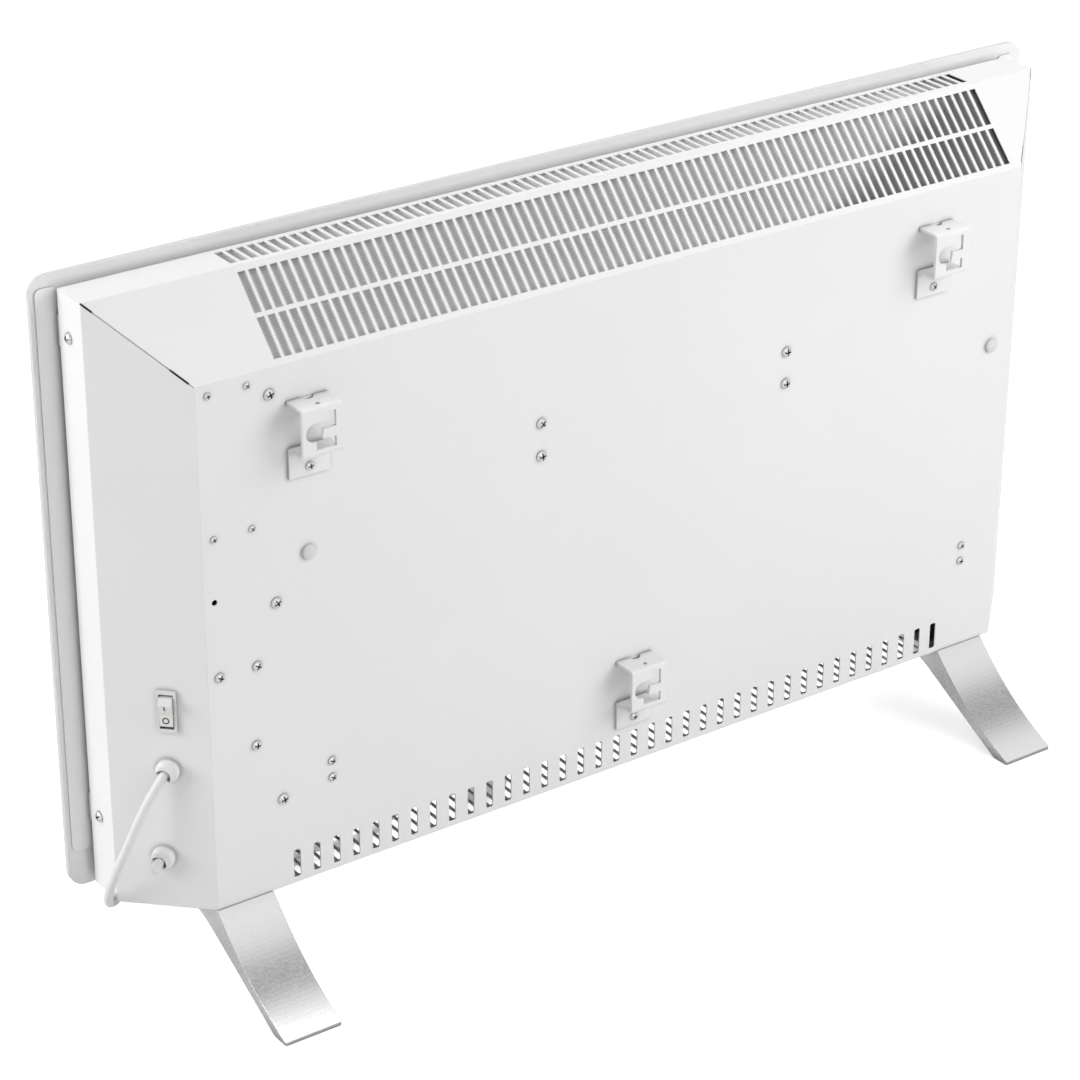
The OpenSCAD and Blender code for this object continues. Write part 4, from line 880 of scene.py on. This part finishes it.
@dataclass
class ScrewTree:
    """Geometry Nodes tree that sets domed heads with a cross recess on the points of a mesh.

    Attributes:
        sides: facets round a head.
        rings: facets from a head's top to its rim and back.
        recess_reach: half length of the recess as a share of the head's radius.
        recess_width: width of its arms as a share of the head's radius.
        recess_depth: its depth as a share of the head's height.
        shank_share: radius of the shank as a share of the head's radius.
        block: width and height of the block that takes off the ball's lower half, in radii and heights.
    """

    sides: int = 20
    rings: int = 14
    recess_reach: float = 0.62
    recess_width: float = 0.26
    recess_depth: float = 0.7
    shank_share: float = 0.52
    block: Pair = (3.0, 2.0)

    def inputs(self, tree: Tree) -> dict[str, str]:
        """Adds the tree's named inputs.

        Args:
            tree: the empty tree.

        Returns:
            Socket identifier of each input, by name.
        """
        wanted = {
            "Geometry": "Geometry", "Head Radius": "Float", "Head Height": "Float", "Shank Length": "Float",
            "Seed": "Int", "Material": "Material",
        }
        names = {}
        for name, kind in wanted.items():
            socket = tree.interface.new_socket(name=name, in_out="INPUT", socket_type=f"NodeSocket{kind}")
            names[name] = socket.identifier
        tree.interface.new_socket(name="Geometry", in_out="OUTPUT", socket_type="NodeSocketGeometry")
        return names

    def head(self, canvas: Canvas, source: Node) -> Socket:
        """Models one head with its recess and shank, about the origin and along Z.

        Args:
            canvas: the tree's canvas.
            source: the tree's input node.

        Returns:
            The head's geometry.
        """
        radius, height, length = (source.outputs[name] for name in ("Head Radius", "Head Height", "Shank Length"))

        def times(value: Socket, share: float) -> Socket:
            """Scales a size."""
            return canvas.math("MULTIPLY", value, share)

        def triple(x: Input, y: Input, z: Input) -> Socket:
            """Joins three sizes."""
            return canvas.add("ShaderNodeCombineXYZ", {"X": x, "Y": y, "Z": z}).outputs[0]

        def box(x: Socket, y: Socket, z: Socket, rise: Socket) -> Socket:
            """Makes a box about a point of the Z axis."""
            return lifted(canvas.add("GeometryNodeMeshCube", {"Size": triple(x, y, z)}), rise)

        def lifted(shape: Node, rise: Socket) -> Socket:
            """Moves a shape along Z."""
            inputs = {"Geometry": shape.outputs[0], "Translation": triple(0.0, 0.0, rise)}
            return canvas.add("GeometryNodeTransform", inputs).outputs[0]

        ball = canvas.add("GeometryNodeMeshUVSphere", {"Segments": self.sides, "Rings": self.rings, "Radius": 1.0})
        shape = {"Geometry": ball.outputs[0], "Scale": triple(radius, radius, height)}
        dome = canvas.add("GeometryNodeTransform", shape)
        smooth = canvas.add("GeometryNodeSetShadeSmooth", {"Geometry": dome.outputs[0]})
        wide = times(radius, self.block[0])
        below = box(wide, wide, times(height, self.block[1]), times(height, -self.block[1] / 2))
        reach, width = times(radius, 2 * self.recess_reach), times(radius, self.recess_width)
        deep = times(height, 2 * self.recess_depth)
        cutters = [below, box(reach, width, deep, height), box(width, reach, deep, height)]
        cut = canvas.add(
            "GeometryNodeMeshBoolean", {0: smooth.outputs[0], 1: cutters}, operation="DIFFERENCE", solver="EXACT"
        )
        stem = {"Vertices": self.sides, "Radius": times(radius, self.shank_share), "Depth": length}
        shank = lifted(canvas.add("GeometryNodeMeshCylinder", stem), times(length, -0.5))
        return canvas.add("GeometryNodeJoinGeometry", {0: [cut.outputs[0], shank]}).outputs[0]

    def build(self) -> tuple[Tree, dict[str, str]]:
        """Builds the tree.

        Returns:
            The tree and the socket identifier of each input.
        """
        tree = bpy.data.node_groups.new("screw_heads", "GeometryNodeTree")
        names = self.inputs(tree)
        canvas = Canvas(tree)
        source = canvas.add("NodeGroupInput")
        head = self.head(canvas, source)
        way, size = (
            canvas.add("GeometryNodeInputNamedAttribute", {"Name": name}, data_type=kind).outputs[0]
            for name, kind in (("way", "FLOAT_VECTOR"), ("size", "FLOAT"))
        )
        upright = canvas.add("FunctionNodeAlignRotationToVector", {"Vector": way}, axis="Z")
        chance = canvas.add(
            "FunctionNodeRandomValue", {"Min": 0.0, "Max": math.pi, "Seed": source.outputs["Seed"]}, data_type="FLOAT"
        )
        spin = canvas.add("FunctionNodeAxisAngleToRotation", {"Axis": (0.0, 0.0, 1.0), "Angle": chance.outputs[1]})
        turned = canvas.add(
            "FunctionNodeRotateRotation", {"Rotation": upright.outputs[0], "Rotate By": spin.outputs[0]},
            rotation_space="LOCAL",
        )
        spread = canvas.add("GeometryNodeInstanceOnPoints", {
            "Points": source.outputs["Geometry"], "Instance": head, "Rotation": turned.outputs[0], "Scale": size,
        })
        real = canvas.add("GeometryNodeRealizeInstances", {"Geometry": spread.outputs[0]})
        worn = canvas.add(
            "GeometryNodeSetMaterial", {"Geometry": real.outputs[0], "Material": source.outputs["Material"]}
        )
        canvas.add("NodeGroupOutput", {0: worn.outputs[0]})
        return tree, names


def plain_copy(holder: Piece, name: str) -> Piece:
    """Turns an object with a Geometry Nodes modifier into a plain mesh and removes the holder.

    Args:
        holder: the object that carries the modifier.
        name: name of the new piece.

    Returns:
        The plain piece.
    """
    graph = bpy.context.evaluated_depsgraph_get()
    mesh = bpy.data.meshes.new_from_object(holder.evaluated_get(graph), depsgraph=graph)
    mesh.name = name
    bpy.data.objects.remove(holder)
    return new_piece(name, mesh)


@dataclass
class ScrewSet:
    """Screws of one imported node, with their heads at the end of each solid.

    Attributes:
        node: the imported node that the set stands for.
        way: direction that the heads face.
        seed: seed for the turn of the recesses.
        both_sides: whether heads on the low side of the middle face the other way.
        wide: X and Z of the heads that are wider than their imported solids.
        wide_share: how much wider they are.
        radius: radius of a head at size 1.
        height: height of that head.
        shank: length of its shank.
    """

    node: str
    way: Point
    seed: int
    both_sides: bool = False
    wide: Sequence[Pair] = ()
    wide_share: float = 1.4
    radius: float = 0.0032
    height: float = 0.0022
    shank: float = 0.006

    def seats(self) -> list[tuple[Vector, Vector, float]]:
        """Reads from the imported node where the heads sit.

        Returns:
            Each head's underside middle, its direction and its size.
        """
        axis = max(range(3), key=lambda i: abs(self.way[i]))
        cross = (axis + 1) % 3
        places = []
        for low, high in solids(self.node):
            size = (high[cross] - low[cross]) / 2 / self.radius
            seat = (low + high) / 2
            way = Vector(self.way)
            if self.both_sides and seat[axis] < 0:
                way.negate()
            seat[axis] = (high if way[axis] > 0 else low)[axis] - way[axis] * self.height * size
            if any(math.dist((seat.x, seat.z), spot) < size * self.radius for spot in self.wide):
                size *= self.wide_share
            places.append((seat, way, size))
        return places

    def build(self, workshop: Workshop, tree: Tree, names: dict[str, str]) -> Piece:
        """Makes the set as one plain mesh.

        Args:
            workshop: holds the finishes.
            tree: the shared tree.
            names: its input identifiers.

        Returns:
            The finished piece.
        """
        places = self.seats()
        mesh = bpy.data.meshes.new(f"{self.node}_seats")
        mesh.from_pydata([seat for seat, _, _ in places], [], [])
        mesh.attributes.new("way", "FLOAT_VECTOR", "POINT")
        mesh.attributes.new("size", "FLOAT", "POINT")
        for i, (_, way, size) in enumerate(places):
            mesh.attributes["way"].data[i].vector = way
            mesh.attributes["size"].data[i].value = size
        holder = new_piece(f"{self.node}_holder", mesh)
        modifier = holder.modifiers.new("heads", "NODES")
        modifier.node_group = tree
        values = {
            "Head Radius": self.radius, "Head Height": self.height, "Shank Length": self.shank, "Seed": self.seed,
            "Material": workshop.materials[Slot.SCREW],
        }
        for name, value in values.items():
            modifier[names[name]] = value
        piece = plain_copy(holder, f"{self.node}_heads")
        workshop.place(piece, Body.HEATER, Slot.SCREW, (self.node,))
        log.info("%d screws for %s", len(places), self.node)
        return piece


def add_strip(mesh: bmesh.types.BMesh, rows: Sequence[Sequence[Vector]]) -> None:
    """Adds a strip of faces.

    Args:
        mesh: the mesh that gets it.
        rows: pairs of points along it.
    """
    pairs = [[mesh.verts.new(point) for point in row] for row in rows]
    for (a, b), (c, d) in zip(pairs, pairs[1:]):
        mesh.faces.new((a, b, d, c))


def ring_rows(middle: Pair, ring: Pair, sides: int) -> list[list[Pair]]:
    """Works out a flat ring.

    Args:
        middle: its middle.
        ring: its outer radius and line width.
        sides: its facets.

    Returns:
        Pairs of an outer and an inner place, once round.
    """
    rows = []
    for k in range(sides + 1):
        angle = 2 * math.pi * k / sides
        way = (math.cos(angle), math.sin(angle))
        rows.append([(middle[0] + r * way[0], middle[1] + r * way[1]) for r in (ring[0], ring[0] - ring[1])])
    return rows


def printed(name: str, mesh: bmesh.types.BMesh, way: Point, finish: Finish) -> Piece:
    """Makes a flat print from its mesh, with all faces turned one way.

    Args:
        name: the print's name.
        mesh: its mesh, which is used up.
        way: the way that its faces have to look.
        finish: its own finish.

    Returns:
        The print.
    """
    bmesh.ops.remove_doubles(mesh, verts=mesh.verts, dist=WELD)
    for face in mesh.faces:
        face.normal_update()
        if face.normal.dot(Vector(way)) < 0:
            face.normal_flip()
    data = bpy.data.meshes.new(name)
    mesh.to_mesh(data)
    mesh.free()
    data.materials.append(finish.build())
    return new_piece(name, data)


@dataclass
class SwitchMarks:
    """Generic I and O of the switch, printed on its rocker.

    Attributes:
        middle: middle of the bezel on the slanted side.
        along: level direction of the slanted side.
        outward: direction that the slanted side faces.
        bar_rise: height of the I over the middle.
        bar: width and length of the I.
        bar_parts: parts of its length, which follow the rocker's bend.
        ring_drop: depth of the O under the middle.
        ring: outer radius and line width of the O.
        shift: sideways place of both marks.
        print_height: how far the print stands off the moulding.
        sides: facets of the O.
        probe: how far outside the bezel the search for the rocker's face starts.
    """

    middle: Point = (0.363063, 0.02229, 0.2095)
    along: Point = (-0.717911, 0.696135, 0.0)
    outward: Point = (0.696135, 0.717911, 0.0)
    bar_rise: float = 0.0046
    bar: Pair = (0.001, 0.0042)
    bar_parts: int = 6
    ring_drop: float = 0.006
    ring: Pair = (0.0024, 0.0009)
    shift: float = -0.0003
    print_height: float = 0.00004
    sides: int = 40
    probe: float = 0.05

    def on_rocker(self, tree: BVHTree, x: float, z: float) -> Vector:
        """Finds a place of the print.

        Args:
            tree: the rocker's surface.
            x: place along the bezel.
            z: height over its middle.

        Returns:
            The point of the rocker's face there, a print's height proud.
        """
        out = Vector(self.outward)
        spot = Vector(self.middle) + Vector(self.along) * x + Vector((0.0, 0.0, z))
        hit, _, _, _ = tree.ray_cast(spot + out * self.probe, -out)
        if hit is None:
            raise RuntimeError("A mark misses the rocker")
        return hit + out * self.print_height

    def build(self, workshop: Workshop) -> Piece:
        """Lays both marks on the rocker.

        Args:
            workshop: holds the finishes.

        Returns:
            The marks.
        """
        rocker = skin_of("switch_rocker")
        tree = BVHTree.FromBMesh(rocker)
        rocker.free()
        width, length = self.bar
        heights = [self.bar_rise + length * (k / self.bar_parts - 0.5) for k in range(self.bar_parts + 1)]
        bar = [[(self.shift - width / 2, z), (self.shift + width / 2, z)] for z in heights]
        mesh = bmesh.new()
        for rows in (bar, ring_rows((self.shift, -self.ring_drop), self.ring, self.sides)):
            add_strip(mesh, [[self.on_rocker(tree, *place) for place in row] for row in rows])
        marks = printed("switch_marks", mesh, self.outward, Finish("mark_print", (0.06, 0.06, 0.06), 0.5))
        workshop.place(marks, Body.ROCKER, Slot.SWITCH)
        return marks


@dataclass
class TouchField:
    """Dark touch field with its small rings, printed behind the polished front of the glass.

    Attributes:
        size: width and height of the field.
        corner: radius of its corners.
        proud: how far it stands off the glass.
        keys: number of ring marks.
        key_pitch: distance between them.
        key_ring: outer radius and line width of a mark.
        key_sides: facets of a mark.
        steps: facets of a corner.
    """

    size: Pair = (0.13, 0.034)
    corner: float = 0.005
    proud: float = 0.00005
    keys: int = 4
    key_pitch: float = 0.028
    key_ring: Pair = (0.0052, 0.0005)
    key_sides: int = 32
    steps: int = 8

    def outline(self) -> list[Pair]:
        """Rounds the field's corners.

        Returns:
            The outline about its middle.
        """
        points = []
        half_w, half_h = self.size[0] / 2 - self.corner, self.size[1] / 2 - self.corner
        for corner, (sx, sz) in enumerate(((1, 1), (-1, 1), (-1, -1), (1, -1))):
            for k in range(self.steps + 1):
                angle = math.radians(90 * (corner + k / self.steps))
                x, z = self.corner * math.cos(angle), self.corner * math.sin(angle)
                points.append((sx * half_w + x, sz * half_h + z))
        return points

    def build(self, workshop: Workshop) -> list[Piece]:
        """Lays the field and its marks on the glass, in front of the display.

        Args:
            workshop: holds the finishes.

        Returns:
            The field and its marks.
        """
        low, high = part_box("display_module")
        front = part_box("glass_panel")[0][1]
        x, z = (low[0] + high[0]) / 2, (low[2] + high[2]) / 2
        field_mesh, rings = bmesh.new(), bmesh.new()
        field_mesh.faces.new(
            [field_mesh.verts.new((x + px, front - self.proud, z + pz)) for px, pz in self.outline()]
        )
        for key in range(self.keys):
            middle = (x + (key - (self.keys - 1) / 2) * self.key_pitch, z)
            rows = ring_rows(middle, self.key_ring, self.key_sides)
            add_strip(rings, [[(px, front - 2 * self.proud, pz) for px, pz in row] for row in rows])
        dark = Finish("touch_print", (0.03, 0.03, 0.033), 0.12, coat=1.0, coat_roughness=0.03)
        pale = Finish("key_print", (0.7, 0.72, 0.73), 0.3)
        pieces = []
        for name, made, finish in (("touch_field", field_mesh, dark), ("touch_keys", rings, pale)):
            piece = printed(name, made, TO_FRONT, finish)
            workshop.place(piece, Body.HEATER, Slot.DISPLAY)
            pieces.append(piece)
        return pieces


def screw_sets() -> list[ScrewSet]:
    """Lists the screws.

    Returns:
        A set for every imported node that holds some.
    """
    wide = ((0.3342, 0.2335), (0.3062, 0.2335), (0.3092, 0.1755))
    return [
        ScrewSet("small_screws", TO_REAR, 3, wide=wide),
        ScrewSet("partition_screws", TO_REAR, 5),
        ScrewSet("hook_screws", TO_REAR, 7),
        ScrewSet("foot_screws", (0.0, 0.0, -1.0), 11),
        ScrewSet("side_screws", (1.0, 0.0, 0.0), 13, both_sides=True),
    ]


def main() -> None:
    """Builds and dresses the whole heater."""
    logging.basicConfig(level=logging.INFO, format="%(message)s")
    PhotoCamera().build()
    workshop = Workshop()
    workshop.prepare()
    Lead().build(workshop)
    Studio().build()
    workshop.dress_frame()
    tree, names = ScrewTree().build()
    for screws in screw_sets():
        screws.build(workshop, tree, names)
    SwitchMarks().build(workshop)
    TouchField().build(workshop)


if __name__ == "__main__":
    main()
